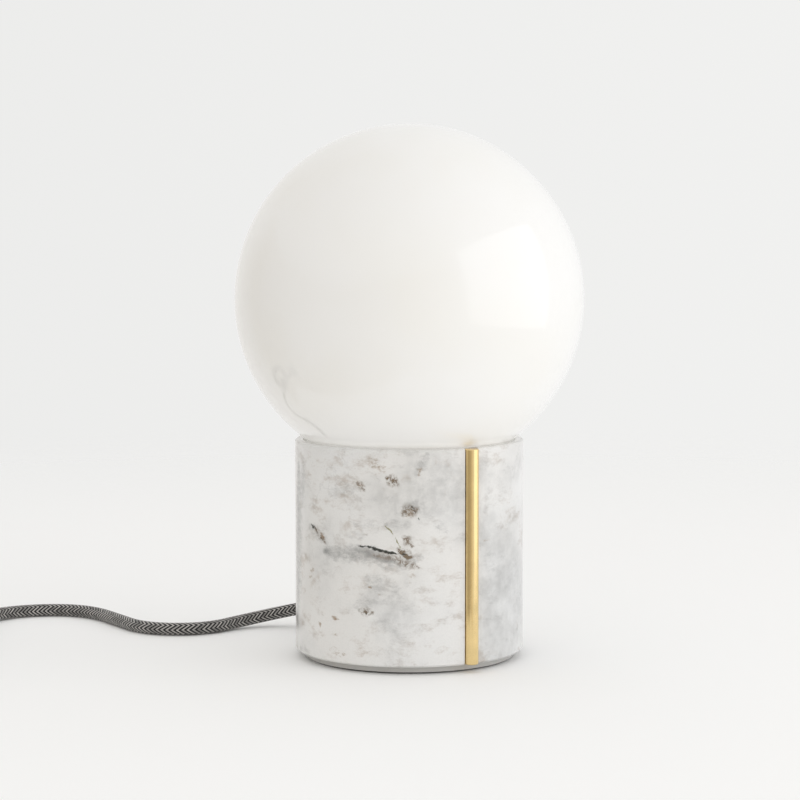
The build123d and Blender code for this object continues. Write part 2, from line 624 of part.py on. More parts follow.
def wiring(sensor_end, earth_end):
    """Cores to the terminals, leads to the dimmer and lampholder, sensor and earth wires."""
    piece("cord_inner", rod_y(CORD_R, SHEATH_END, GLAND_END, z=CORD_EXIT_Z))
    back, front = TERMINALS[1] / 2, -TERMINALS[1] / 2
    step, core_bend, core_run = 3.2, 2.0, 4.0
    cores = []
    for k, x in enumerate(TERMINAL_XS):
        start_x = CORE_PITCH * (k - 1)
        turn_y = SHEATH_END - core_run - step * (len(TERMINAL_XS) - 1 - k)
        land_y = back + core_run + step * k
        points = [
            (start_x, SHEATH_END, CORD_EXIT_Z),
            (start_x, turn_y, CORD_EXIT_Z),
            (x, land_y, TERMINAL_WIRE_Z),
            (x, back, TERMINAL_WIRE_Z),
        ]
        cores.append(wire(CORE_R, *points, bend=core_bend))
    piece("cord_cores", *cores)

    dimmer_face = DIMMER_X + DIMMER[0] / 2
    leads = []
    for k, x in enumerate(TERMINAL_XS[:2]):
        y = front - 5.0 - 3.0 * k
        points = [
            (x, front, TERMINAL_WIRE_Z),
            (x, y, TERMINAL_WIRE_Z),
            (x - 9.0, y, LEAD_CROSSING_Z),
            (dimmer_face, y, LEAD_CROSSING_Z),
        ]
        leads.append(wire(CORE_R, *points))
    piece("dimmer_leads", *leads)

    entry_z = (LEAD_SLOT[0] + LEAD_SLOT[1]) / 2
    leads = []
    for y in (-LEAD_SPACING / 2, LEAD_SPACING / 2):
        points = [
            (DIMMER_X, y, DIMMER_TOP),
            (DIMMER_X, y, entry_z),
            (0, y, entry_z),
            (0, y, CORE_TOP - CORE_ROOF),
        ]
        leads.append(wire(LEAD_R, *points))
    piece("lampholder_leads", *leads)

    x, y = TERMINAL_XS[2], earth_end.Y - 4.0
    earth_points = [(x, front, TERMINAL_WIRE_Z), (x, y, TERMINAL_WIRE_Z), (0, y, earth_end.Z), earth_end]
    piece("earth_wire", wire(CORE_R, *earth_points))

    # The sensor wire runs along the pocket's wall and straight into its tag's barrel.
    wall_r, wall_angle = POCKET_R - 4.0, math.radians(-120)
    start = Vector(DIMMER_X + 4, -DIMMER[1] / 2, PLATE_TOP + DIMMER[2] / 2)
    sensor_points = [
        start,
        start - Vector(0, 7, 0),
        (wall_r * math.cos(wall_angle), wall_r * math.sin(wall_angle), sensor_end.Z),
        sensor_end - Vector(4.5, 0, 0),
        sensor_end,
    ]
    piece("sensor_wire", wire(LEAD_R, *sensor_points, bend=2.5))


# --- free cord, coil, tie and plug ---------------------------------------------------------
def biarc(start, start_dir, end, end_dir):
    """Two arcs that join smoothly, from one point and direction to another."""
    chord, turn = end - start, start_dir + end_dir
    a, b, c = 2 * (1 - start_dir.dot(end_dir)), 2 * chord.dot(turn), -chord.dot(chord)
    reach = (-b + math.sqrt(b * b - 4 * a * c)) / (2 * a) if a > 1e-9 else -c / b
    middle = (start + start_dir * reach + end - end_dir * reach) * 0.5
    first = TangentArc(start, middle, tangent=start_dir)
    return [first, TangentArc(middle, end, tangent=first % 1)]


def coil_layout():
    """The coil's middle, its first direction, and its line as a function of turns wound."""
    before, coil_in = Vector(*ROUTE[-2]), Vector(*ROUTE[-1])
    heading = (coil_in - before).normalized()
    start = coil_in + heading * 2 * CORD_R
    outward = heading.cross(Vector(0, 0, -1))
    start_angle = math.atan2(outward.Y, outward.X)
    centre = start - outward * COIL_OUT_R
    half, climb = COIL_TURNS / 2, 0.25

    def at(turns):
        """In, up a layer in the half turn where the spiral reverses, and out."""
        angle = start_angle - 2 * math.pi * turns
        radius = COIL_OUT_R - COIL_PITCH * (half - abs(turns - half))
        share = min(1.0, max(0.0, (turns - half + climb) / (2 * climb)))
        z = COIL_PITCH * (1 - math.cos(math.pi * share)) / 2
        return centre + Vector(radius * math.cos(angle), radius * math.sin(angle), z)

    return centre, heading, at


def cord_coil():
    """One unbroken tube: it spirals in, climbs a layer, spirals out and runs to the plug."""
    centre, heading, at = coil_layout()
    small = 1e-4

    def direction(turns):
        if turns in (0, COIL_TURNS):
            return heading
        return (at(turns + small) - at(turns - small)).normalized()

    edges = [Line(Vector(*ROUTE[-1]), at(0))]
    quarters = [k / 4 for k in range(int(COIL_TURNS * 4) + 1)]
    for low, high in zip(quarters, quarters[1:]):
        edges += biarc(at(low), direction(low), at(high), direction(high))
    # The end leaves straight on and rises to the plug's axis in two arcs.
    rise = PLUG_R - at(COIL_TURNS).Z
    run = math.sqrt(4 * COIL_TAIL_BEND * rise - rise**2)
    foot = at(COIL_TURNS) + heading * COIL_TAIL
    top = foot + heading * run + Vector(0, 0, rise)
    end = top + heading * 2 * CORD_R
    edges += [Line(at(COIL_TURNS), foot), *biarc(foot, heading, top, heading), Line(top, end)]
    path = Wire(edges)
    coil = sweep(Plane(path @ 0, z_dir=path % 0) * Circle(CORD_R), path=path)
    print(f"coil: length {path.length:.0f} mm, least gap {least_gap(at):.2f} mm, volume ratio", end=" ")
    print(f"{coil.volume / (math.pi * CORD_R**2 * path.length):.4f}")
    return coil, end, heading, path.length


def least_gap(at):
    """The least gap between turns, measured between points over half a turn apart."""
    per_turn = 120
    points = [at(k / per_turn) for k in range(int(COIL_TURNS * per_turn) + 1)]
    later = ((a, points[k + per_turn // 2 :]) for k, a in enumerate(points))
    return min((a - b).length for a, others in later for b in others) - 2 * CORD_R


def cord_free():
    """Straight runs joined by arcs, each as large as its two runs allow."""
    route = [Vector(0, GLAND_END, CORD_EXIT_Z)] + [Vector(*point) for point in ROUTE]
    radii = []
    for before, corner, after in zip(route, route[1:], route[2:]):
        turn = math.radians((corner - before).get_angle(after - corner))
        run = min((corner - before).length, (after - corner).length)
        radii.append(0.45 * run / math.tan(turn / 2))
    print("cord radii, in diameters:", " ".join(f"{r / (2 * CORD_R):.1f}" for r in radii))
    path = FilletPolyline(*route, radius=radii)
    cord = sweep(Plane(path @ 0, z_dir=path % 0) * Circle(CORD_R), path=path)
    print(f"cord: length {path.length:.0f} mm, volume ratio", end=" ")
    print(f"{cord.volume / (math.pi * CORD_R**2 * path.length):.4f}")
    return cord, path.length


def cord_tie():
    """A strap round the turns, on the side where the coil begins and ends."""
    centre, heading, _ = coil_layout()
    outward = heading.cross(Vector(0, 0, -1))
    inner_r = COIL_OUT_R - COIL_PITCH * COIL_TURNS / 2 - CORD_R
    outer_r = COIL_OUT_R + CORD_R
    wide, high = outer_r - inner_r, 2 * CORD_R + COIL_PITCH
    middle = centre + outward * (inner_r + wide / 2) + Vector(0, 0, COIL_PITCH / 2)
    hole = RectangleRounded(wide + 2 * TIE_GAP, high + 2 * TIE_GAP, CORD_R)
    grow = 2 * (TIE_GAP + TIE_THICK)
    band = RectangleRounded(wide + grow, high + grow, CORD_R + TIE_THICK)
    across = Plane(middle, x_dir=outward, z_dir=heading)
    return across * extrude(band - hole, TIE_WIDTH / 2, both=True)


def plug(start, heading):
    """An earthed mains plug on its side: boot, grip, round face, two pins and two earth clips."""
    along = Plane(start, x_dir=heading.cross(Vector(0, 0, 1)), z_dir=heading)
    upward = (Align.CENTER, Align.CENTER, Align.MIN)
    boot = Cone(*BOOT_R, PLUG_BOOT, align=upward)
    for k in range(BOOT_GROOVES):
        groove = Cylinder(2 * BOOT_R[1], BOOT_GROOVE) - Cylinder(BOOT_CORE_R, BOOT_GROOVE)
        boot -= Pos(0, 0, BOOT_PITCH * (k + 0.8)) * groove
    piece("plug_boot", along * boot)

    waist_z, face_z = PLUG_BOOT + PLUG_LENGTH * PLUG_GRIP_SHARE, PLUG_BOOT + PLUG_LENGTH
    rear_r, waist_r = PLUG_GRIP_R
    rear = loft([Pos(0, 0, PLUG_BOOT) * Circle(rear_r), Pos(0, 0, waist_z) * Circle(waist_r)])
    head = extrude(Pos(0, 0, waist_z) * Circle(PLUG_R), face_z - waist_z)
    body = rear + fillet(head.edges().filter_by(GeomType.CIRCLE), PLUG_ROUND)
    slot_x, slot_y, slot_length = CLIP_SLOT
    for side in (-1, 1):
        slot = Box(slot_x, 2 * slot_y, 2 * slot_length)
        body -= Pos(0, side * PLUG_R, face_z) * slot
    hole = Cylinder(EARTH_HOLE_R, slot_length, align=(Align.CENTER, Align.CENTER, Align.MAX))
    piece("plug_body", along * (body - Pos(-EARTH_HOLE_OFFSET, 0, face_z) * hole))

    pins = []
    for side in (-1, 1):
        pin = Pos(side * PIN_SPACING / 2, 0, face_z) * Cylinder(PIN_R, PIN_LENGTH, align=upward)
        pins.append(along * fillet(pin.edges().sort_by(Axis.Z)[-1], PIN_ROUND))
    piece("plug_pins", *pins)
    clip_y = PLUG_R - slot_y + CLIP[1] / 2
    clips = [Pos(0, side * clip_y, face_z - CLIP[2] / 2) * Box(*CLIP) for side in (-1, 1)]
    piece("plug_earth_clips", *(along * clip for clip in clips))


# --- assembly ------------------------------------------------------------------------------
piece("marble_body", marble_body())
piece("glass_globe", glass_globe())
piece("seat_ring", seat_ring())
piece("brass_bar", brass_bar())
bar_fixings()
tag, tag_end = sensor_tag()
piece("sensor_tag", tag)
piece("bottom_plate", bottom_plate())
piece("foot_pad", tube(FOOT_R - PAD_INSET, PAD_HOLE_R, 0, PAD_THICK))
piece("central_tube", central_tube())
tube_nuts_and_washers()
piece("carrier_disc", tube(CARRIER_R, TUBE_R, CHAMBER_FLOOR, CHAMBER_FLOOR + CARRIER_THICK))
tag, earth_end = earth_tag()
piece("earth_tag", tag)
lampholder()
piece("bulb_glass", bulb_glass())
bulb_base()
piece("dimmer_module", dimmer_module())
piece("terminal_block", terminal_block())
cord_clamp()
piece("cord_gland", cord_gland())
wiring(tag_end, earth_end)
coil, plug_start, plug_heading, coil_length = cord_coil()
piece("cord_coil", coil)
free, free_length = cord_free()
piece("cord_free", free)
piece("cord_tie", cord_tie())
plug(plug_start, plug_heading)
print(f"whole cord outside the gland: {free_length + coil_length:.0f} mm")

for name, shape in pieces.items():
    export_step(shape, f"parts/{name}.step")
print(len(pieces), "nodes")
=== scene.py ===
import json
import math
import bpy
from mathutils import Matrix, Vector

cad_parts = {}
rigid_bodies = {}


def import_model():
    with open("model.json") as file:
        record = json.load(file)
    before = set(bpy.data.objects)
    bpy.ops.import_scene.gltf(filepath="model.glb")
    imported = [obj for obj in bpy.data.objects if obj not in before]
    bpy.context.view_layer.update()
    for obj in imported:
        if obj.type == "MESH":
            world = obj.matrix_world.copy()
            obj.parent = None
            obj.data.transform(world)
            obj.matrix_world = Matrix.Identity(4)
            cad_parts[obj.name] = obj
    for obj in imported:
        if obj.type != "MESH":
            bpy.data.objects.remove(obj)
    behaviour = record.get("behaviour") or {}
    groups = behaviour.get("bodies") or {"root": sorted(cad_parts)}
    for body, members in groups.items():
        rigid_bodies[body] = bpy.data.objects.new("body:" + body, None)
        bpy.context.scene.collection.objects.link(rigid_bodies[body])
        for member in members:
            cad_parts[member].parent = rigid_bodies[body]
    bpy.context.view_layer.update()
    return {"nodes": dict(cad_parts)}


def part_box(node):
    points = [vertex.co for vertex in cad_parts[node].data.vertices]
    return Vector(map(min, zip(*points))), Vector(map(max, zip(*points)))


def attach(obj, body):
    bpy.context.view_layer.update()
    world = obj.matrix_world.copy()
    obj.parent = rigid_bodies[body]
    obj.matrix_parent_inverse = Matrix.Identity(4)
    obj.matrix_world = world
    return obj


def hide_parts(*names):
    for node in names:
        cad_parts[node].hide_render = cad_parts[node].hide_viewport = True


bl_info = {
    "name": "Globe Table Lamp",
    "version": (1, 0, 0),
    "blender": (4, 5, 0),
    "location": "View3D > Sidebar > Lamp",
    "description": "Finishes and studio for a marble table lamp with an opal glass globe",
    "category": "Object",
}

import bpy
import numpy as np
from mathutils import Vector

for leftover in list(bpy.data.objects):
    bpy.data.objects.remove(leftover)
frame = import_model()

MM = 0.001
SCRATCH = 0.05 * MM  # depth of a worked or moulded surface's texture

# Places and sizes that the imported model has, in metres.
MARBLE_R = (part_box("marble_body")[1].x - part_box("marble_body")[0].x) / 2
MARBLE_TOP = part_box("marble_body")[1].z

CAMERA_AZIMUTH = math.radians(-32)
CAMERA_DISTANCE = 1.494  # from the lamp's axis
CAMERA_HEIGHT = 0.2835
CAMERA_TILT = 5.19  # degrees downwards
CAMERA_LENS = 117.5
CAMERA_SENSOR = 36.0
CAMERA_SHIFT = -0.0116

# The cord's route from the gland to the coil, whose start its last run sets, and the coil.
CORD_EXIT = (0.0, 0.0816, 0.0155)
CORD_ROUTE = [
    (0.000, 0.096, 0.0155),
    (-0.015, 0.120, 0.0090),
    (-0.043, 0.127, 0.0042),
    (-0.068, 0.118, 0.0038),
    (-0.090, 0.125, 0.0038),
    (-0.103, 0.143, 0.0038),
    (-0.103, 0.168, 0.0038),
    (-0.103, 0.205, 0.0038),
    (-0.118, 0.227, 0.0038),
    (-0.147, 0.235, 0.0038),
    (-0.1747, 0.2201, 0.0049),
    (-0.1946, 0.2034, 0.0049),
]
COIL_TURNS = 5
COIL_POINTS = 16  # corners of the spline in one turn
COIL_RADIUS = 53.5 * MM
COIL_PITCH = 8.2 * MM
COIL_CLIMB = 0.25  # turns, each side of the middle, in which the cord climbs a layer
COIL_LEAD_IN = 7.6 * MM
PLUG_AXIS_Z = 18.4 * MM
TAIL_RUNS = (14 * MM, 20 * MM, 36 * MM, 49.5 * MM)  # from the coil to the plug
YARN_LEAN = 1.4  # yarns that a column's lean passes
BRAIDED_RUN = 0.315  # length from the gland along which the yarns stand proud
COARSE_STEP = 1.5 * MM  # between the cord's rings past that
MEAN_YARN = 0.6  # relief there, in shares of a yarn's height
SMOOTHING = 4 * MM

# The strap round the coil. Places along it are shares of one way round.
STRAP_THICK = 1.0 * MM
STRAP_WIDE = 11.0 * MM
STRAP_START = 0.30
STRAP_LAP = 1.24  # where its loose end climbs onto its start
STRAP_END = 1.48
STRAP_SIDES = 28


# ---------------------------------------------------------------- shader building


class Graph:
    """A node tree, built one node at a time. A value is a number, a tuple or a socket."""

    def __init__(self, tree):
        self.tree = tree

    def feed(self, socket, value):
        if isinstance(value, bpy.types.NodeSocket):
            self.tree.links.new(value, socket)
        elif value is not None:
            socket.default_value = value

    def node(self, kind, *values, **settings):
        made = self.tree.nodes.new(kind)
        for name, value in settings.items():
            setattr(made, name, value)
        for socket, value in zip(made.inputs, values):
            self.feed(socket, value)
        return made

    def sums(self, operation, *values, clamp=False):
        return self.node("ShaderNodeMath", *values, operation=operation, use_clamp=clamp).outputs[0]

    def plus(self, first, second):
        return self.sums("ADD", first, second)

    def minus(self, first, second):
        return self.sums("SUBTRACT", first, second)

    def times(self, first, second):
        return self.sums("MULTIPLY", first, second)

    def vector(self, operation, *values):
        made = self.node("ShaderNodeVectorMath", operation=operation)
        for socket, value in zip(made.inputs, values):
            self.feed(socket, value)
        scalar = operation in ("DOT_PRODUCT", "LENGTH", "DISTANCE")
        return made.outputs["Value" if scalar else "Vector"]

    def scaled(self, value, factor):
        made = self.node("ShaderNodeVectorMath", operation="SCALE")
        self.feed(made.inputs[0], value)
        self.feed(made.inputs["Scale"], factor)
        return made.outputs["Vector"]

    def parts(self, value):
        return self.node("ShaderNodeSeparateXYZ", value).outputs

    def joined(self, x, y, z):
        return self.node("ShaderNodeCombineXYZ", x, y, z).outputs[0]

    def noise(self, vector, scale, detail=3.0, roughness=0.5, colour=False):
        made = self.node("ShaderNodeTexNoise")
        self.feed(made.inputs["Vector"], vector)
        self.feed(made.inputs["Scale"], scale)
        self.feed(made.inputs["Detail"], detail)
        self.feed(made.inputs["Roughness"], roughness)
        return made.outputs["Color" if colour else "Fac"]

    def step(self, value, low, high, to_low=0.0, to_high=1.0):
        """Smooth step of value from low to high."""
        made = self.node("ShaderNodeMapRange", interpolation_type="SMOOTHSTEP")
        for socket, number in zip(made.inputs, (value, low, high, to_low, to_high)):
            self.feed(socket, number)
        return made.outputs[0]

    def mix(self, share, low, high):
        """The colour between low and high, at that share of the way."""
        made = self.node("ShaderNodeMix", data_type="RGBA")
        self.feed(made.inputs["Factor"], share)
        self.feed(made.inputs["A"], opaque(low))
        self.feed(made.inputs["B"], opaque(high))
        return made.outputs["Result"]

    def warp(self, vector, scale, amount):
        """vector moved by up to amount, in every direction, by a noise of that scale."""
        shake = self.vector("SUBTRACT", self.noise(vector, scale, 4.0, 0.6, True), (0.5,) * 3)
        return self.vector("ADD", vector, self.scaled(shake, amount))

    def bump(self, height, strength, distance):
        made = self.node("ShaderNodeBump")
        self.feed(made.inputs["Strength"], strength)
        self.feed(made.inputs["Distance"], distance)
        self.feed(made.inputs["Height"], height)
        return made.outputs["Normal"]

    def place(self, group, **values):
        """A node of that group, with its inputs fed by name."""
        made = self.node("ShaderNodeGroup", node_tree=group)
        for name, value in values.items():
            self.feed(made.inputs[name.replace("_", " ").title()], value)
        return made.outputs


def opaque(colour):
    """A colour of three numbers with its alpha; a socket as it is."""
    if isinstance(colour, bpy.types.NodeSocket) or len(colour) == 4:
        return colour
    return (*colour, 1.0)


def tinted(colour, *factors):
    """A colour times one factor, or times one for each channel."""
    factors = factors if len(factors) == 3 else factors * 3
    return tuple(channel * factor for channel, factor in zip(colour, factors))


def new_group(name, inputs, outputs):
    """A node group with named number or vector sockets, and its graph and two ends."""
    tree = bpy.data.node_groups.new(name, "ShaderNodeTree")
    kinds = {"value": "NodeSocketFloat", "vector": "NodeSocketVector"}
    for socket, kind in inputs.items():
        tree.interface.new_socket(socket, in_out="INPUT", socket_type=kinds[kind])
    for socket, kind in outputs.items():
        tree.interface.new_socket(socket, in_out="OUTPUT", socket_type=kinds[kind])
    graph = Graph(tree)
    start, end = graph.node("NodeGroupInput"), graph.node("NodeGroupOutput")
    return tree, graph, start.outputs, end.inputs


def stone_vein_group():
    """Mask of a vein from Start to End: 1 on the line, falling to 0 at Width, thin at both ends."""
    tree, g, given, out = new_group(
        "Stone Vein",
        {"Vector": "vector", "Start": "vector", "End": "vector", "Width": "value"},
        {"Mask": "value"},
    )
    along = g.vector("SUBTRACT", given["End"], given["Start"])
    reach = g.vector("SUBTRACT", given["Vector"], given["Start"])
    squared = g.vector("DOT_PRODUCT", along, along)
    share = g.sums("DIVIDE", g.vector("DOT_PRODUCT", reach, along), squared, clamp=True)
    away = g.vector("LENGTH", g.vector("SUBTRACT", reach, g.scaled(along, share)))
    middle = g.minus(g.times(share, 2.0), 1.0)
    from_middle = g.sums("POWER", g.sums("ABSOLUTE", middle), 2.0)
    thin = g.minus(1.0, g.times(from_middle, 0.6))
    half = g.times(given["Width"], thin)
    g.feed(out["Mask"], g.step(g.sums("DIVIDE", away, half), 1.0, 0.0))
    return tree


def brushed_group():
    """Fine parallel scratches: noise scaled by Stretch, as a tone, a roughness and a height."""
    tree, g, given, out = new_group(
        "Brushed Metal",
        {"Vector": "vector", "Stretch": "vector", "Amount": "value"},
        {"Tone": "value", "Roughness": "value", "Height": "value"},
    )
    lines = g.noise(g.vector("MULTIPLY", given["Vector"], given["Stretch"]), 1.0, 4.0, 0.6)
    stains = g.noise(given["Vector"], 90.0, 3.0, 0.6)
    g.feed(out["Tone"], g.plus(g.times(lines, given["Amount"]), stains))
    g.feed(out["Roughness"], g.plus(g.times(stains, 0.12), g.times(lines, 0.08)))
    g.feed(out["Height"], lines)
    return tree


def moulded_group():
    """The fine grain of a moulded or fired surface, with a slow change of gloss from handling."""
    tree, g, given, out = new_group(
        "Moulded Surface",
        {"Vector": "vector", "Grain": "value"},
        {"Tone": "value", "Roughness": "value", "Height": "value"},
    )
    grain = g.noise(given["Vector"], given["Grain"], 2.0, 0.5)
    slow = g.noise(given["Vector"], 60.0, 3.0, 0.55)
    g.feed(out["Tone"], g.plus(g.times(grain, 0.35), g.times(slow, 0.65)))
    g.feed(out["Roughness"], g.minus(slow, 0.5))
    g.feed(out["Height"], grain)
    return tree


def herringbone_group():
    """Yarns in columns that lean one way and the other. Across counts the columns and Along the
    yarns: phase = Along + Lean times a triangle wave of Across, and a yarn is one whole phase."""
    tree, g, given, out = new_group(
        "Herringbone Braid",
        {"Across": "value", "Along": "value", "Lean": "value"},
        {"Pale": "value", "Shade": "value", "Height": "value"},
    )
    column = g.sums("FLOOR", given["Across"])
    inside = g.minus(given["Across"], column)
    wave = g.sums("PINGPONG", given["Across"], 1.0)
    phase = g.plus(given["Along"], g.times(wave, given["Lean"]))
    yarn = g.sums("FLOOR", phase)
    turn = g.minus(phase, yarn)
    chance = g.node("ShaderNodeTexWhiteNoise", noise_dimensions="2D")
    g.feed(chance.inputs["Vector"], g.joined(column, yarn, 0.0))
    drawn = chance.outputs["Value"]
    edge = g.plus(0.54, g.times(g.minus(drawn, 0.5), 0.2))
    pale = g.step(turn, g.minus(edge, 0.05), g.plus(edge, 0.05))
    pale = g.times(pale, g.step(turn, 1.0, 0.94))
    g.feed(out["Pale"], pale)
    g.feed(out["Shade"], drawn)
    strand = g.sums("FRACT", g.times(phase, 2.0))
    round_yarn = g.sums("SINE", g.times(strand, math.pi))
    round_column = g.sums("SINE", g.times(inside, math.pi))
    g.feed(out["Height"], g.times(round_yarn, g.sums("POWER", round_column, 0.5)))
    return tree


GROUPS = {
    "vein": stone_vein_group,
    "brushed": brushed_group,
    "moulded": moulded_group,
    "braid": herringbone_group,
}


def group(name):
    """The shared node group of that name, built the first time."""
    if isinstance(GROUPS[name], bpy.types.NodeTree):
        return GROUPS[name]
    GROUPS[name] = GROUPS[name]()
    return GROUPS[name]


def new_material(name, **plain):
    """A material with only a Principled BSDF and its output; plain values go on its own sockets."""
    material = bpy.data.materials.new(name)
    material.use_nodes = True
    material.node_tree.nodes.clear()
    g = Graph(material.node_tree)
    shader = g.node("ShaderNodeBsdfPrincipled")
    out = g.node("ShaderNodeOutputMaterial")
    g.feed(out.inputs["Surface"], shader.outputs[0])
    for socket, value in plain.items():
        shader.inputs[socket.replace("_", " ")].default_value = value
    return material, g, shader.inputs


def coat(g, shader, colour, roughness, height, strength, depth):
    """Feeds a shader its colour, its roughness, and a relief of that height, strength and depth."""
    g.feed(shader["Base Color"], colour)
    g.feed(shader["Roughness"], roughness)
    g.feed(shader["Normal"], g.bump(height, strength, depth))


def object_coordinates(g):
    return g.node("ShaderNodeTexCoord").outputs["Object"]


def metal(name, colour, roughness, stretch, amount=0.6, strength=0.15):
    """A worked metal: scratches along one axis, duller stains and a slightly uneven colour."""
    material, g, shader = new_material(name, Metallic=1.0)
    here = object_coordinates(g)
    made = g.place(group("brushed"), vector=here, stretch=stretch, amount=amount)
    uneven = g.mix(g.step(made["Tone"], 0.3, 1.2), tinted(colour, 0.82), colour)
    rough = g.plus(made["Roughness"], roughness - 0.1)
    coat(g, shader, uneven, rough, made["Height"], strength, SCRATCH)
    return material


def moulded(name, colour, roughness, grain=2200.0, strength=0.2, contrast=0.12):
    """A moulded plastic, rubber or fired ceramic: grain, uneven gloss and a faint change of tone."""
    material, g, shader = new_material(name)
    here = object_coordinates(g)
    made = g.place(group("moulded"), vector=here, grain=grain)
    low = tinted(colour, 1 - contrast)
    high = tuple(min(1.0, channel * (1 + contrast) + contrast * 0.02) for channel in colour)
    uneven = g.mix(g.step(made["Tone"], 0.3, 0.7), low, high)
    rough = g.plus(g.times(made["Roughness"], 0.3), roughness)
    coat(g, shader, uneven, rough, made["Height"], strength, SCRATCH)
    return material


def linked(name, data):
    """A new object of the scene with that data."""
    made = bpy.data.objects.new(name, data)
    bpy.context.scene.collection.objects.link(made)
    return made


def dress(material, *nodes):
    """Gives CAD nodes their finish."""
    for name in nodes:
        part = frame["nodes"][name]
        part.data.materials.clear()
        part.data.materials.append(material)


# ---------------------------------------------------------------- surfaces


def grid_surface(name, points, closed=False, uv=None, caps=False):
    """A mesh on a grid of points [row, column], whose last column joins the first. closed joins
    the last row to the first, and caps fans each open end to its middle. uv is the pattern's
    coordinate at each column, with one more where columns join, and at each row."""
    rows, columns = points.shape[:2]
    row_steps = rows if closed else rows - 1
    i, j = np.meshgrid(np.arange(row_steps), np.arange(columns), indexing="ij")
    i, j = i.ravel(), j.ravel()
    below, after = (i + 1) % rows, (j + 1) % columns
    above, under = i * columns, below * columns
    faces = np.stack([above + j, above + after, under + after, under + j], 1)
    vertices = points.reshape(-1, 3)
    face_lists = faces.tolist()
    if caps:
        vertices = np.concatenate([vertices, points[:1].mean(1), points[-1:].mean(1)])
        ring = np.arange(columns)
        following = (ring + 1) % columns
        first, last = rows * columns, rows * columns + 1
        face_lists += np.stack([following, ring, np.full(columns, first)], 1).tolist()
        end = (rows - 1) * columns
        face_lists += np.stack([end + ring, end + following, np.full(columns, last)], 1).tolist()
    mesh = bpy.data.meshes.new(name)
    mesh.from_pydata(vertices.tolist(), [], face_lists)
    mesh.polygons.foreach_set("use_smooth", np.ones(len(mesh.polygons), bool))
    if uv is not None:
        across, down = uv
        values = np.zeros((len(mesh.loops), 2), np.float32)
        quads = np.stack(
            [
                np.stack([across[j], across[j + 1], across[j + 1], across[j]], 1),
                np.stack([down[i], down[i], down[i + 1], down[i + 1]], 1),
            ],
            2,
        )
        values[: 4 * len(faces)] = quads.reshape(-1, 2)
        mesh.uv_layers.new(name="Pattern").data.foreach_set("uv", values.ravel())
    mesh.validate()
    mesh.update()
    return linked(name, mesh)


def turned(name, profile, segments, relief):
    """A closed profile of (radius, height, share) rows turned round the Z axis. relief(height,
    angle) times the row's share is added to each radius."""
    radius, height, share = (profile[:, k][:, None] for k in range(3))
    angle = np.linspace(0, 2 * math.pi, segments, endpoint=False)[None, :]
    reach = radius + share * relief(height, angle)
    points = np.stack([reach * np.cos(angle), reach * np.sin(angle), height + 0 * angle], 2)
    return grid_surface(name, points, closed=True)


def swept(name, path, sides, ups, profile, uv):
    """A profile [row, column, (side, up)] carried along a path, in each row's own directions."""
    aside, above = profile[..., :1], profile[..., 1:]
    points = path[:, None, :] + sides[:, None, :] * aside + ups[:, None, :] * above
    return grid_surface(name, points, caps=True, uv=uv)


def level_directions(path):
    """For a line that is never upright: the level side and the up direction at each point."""
    tangent = np.gradient(path, axis=0)
    tangent /= np.linalg.norm(tangent, axis=1)[:, None]
    side = np.cross(tangent, (0.0, 0.0, 1.0))
    side /= np.linalg.norm(side, axis=1)[:, None]
    return side, np.cross(side, tangent)


# ---------------------------------------------------------------- settings


def colour_setting(name, description, default):
    return bpy.props.FloatVectorProperty(
        name=name, description=description, default=default, subtype="COLOR", size=3, min=0.0, max=1.0
    )


def plain_setting(name, description, default, highest=1.0):
    return bpy.props.FloatProperty(
        name=name, description=description, default=default, min=0.0, max=highest
    )


def length_setting(name, description, default):
    return bpy.props.FloatProperty(
        name=name, description=description, default=default, unit="LENGTH", subtype="DISTANCE", precision=5
    )


class LampMarbleSettings(bpy.types.PropertyGroup):
    white: colour_setting("White", "Clean stone between the veins", (0.81, 0.812, 0.81))
    cloud: colour_setting("Cloud", "Grey clouds in the stone", (0.37, 0.37, 0.365))
    stain: colour_setting("Stain", "Brown iron stains", (0.33, 0.235, 0.155))
    vein: colour_setting("Vein", "Darkest veins", (0.045, 0.047, 0.042))
    # The foot's colour is partly its own honed tone and partly painted shade of the recess.
    honed_shaded_foot: colour_setting("Foot", "Honed stone of the recessed foot", (0.52, 0.51, 0.49))
    roughness: plain_setting("Roughness", "Polish of the stone", 0.20)


class LampGlassSettings(bpy.types.PropertyGroup):
    opal: colour_setting("Opal", "White glass of the globe", (0.93, 0.926, 0.913))
    bulb: colour_setting("Bulb", "White glass of the bulb", (0.92, 0.91, 0.87))
    roughness: plain_setting("Roughness", "Gloss of the globe", 0.06)


class LampMetalSettings(bpy.types.PropertyGroup):
    brass: colour_setting("Brass", "Bar, studs and screw shell", (0.93, 0.71, 0.35))
    steel: colour_setting("Steel", "Zinc-plated steel parts", (0.62, 0.63, 0.64))
    tin: colour_setting("Tin", "Solder and plated pins", (0.75, 0.74, 0.71))
    thread_pitch: length_setting("Thread pitch", "Rise of the bulb's thread in one turn", 3.629 * MM)
    thread_depth: length_setting("Thread depth", "Crest to root of the bulb's thread", 0.9 * MM)


class LampCordSettings(bpy.types.PropertyGroup):
    diameter: length_setting("Diameter", "Over the braid", 7.6 * MM)
    dark: colour_setting("Dark yarn", "Near-black yarn of the braid", (0.010, 0.010, 0.011))
    pale: colour_setting("Pale yarn", "Grey-white yarn of the braid", (0.52, 0.50, 0.475))
    yarn_pitch: length_setting("Yarn pitch", "One dark and one pale yarn, along the cord", 2.9 * MM)
    relief: length_setting("Relief", "How far the yarns stand proud", 0.16 * MM)
    strap: colour_setting("Strap", "Woven strap round the coil", (0.03, 0.03, 0.032))
    columns: bpy.props.IntProperty(
        name="Columns", description="Columns of leaning yarns round the cord", default=8, min=4, max=40
    )


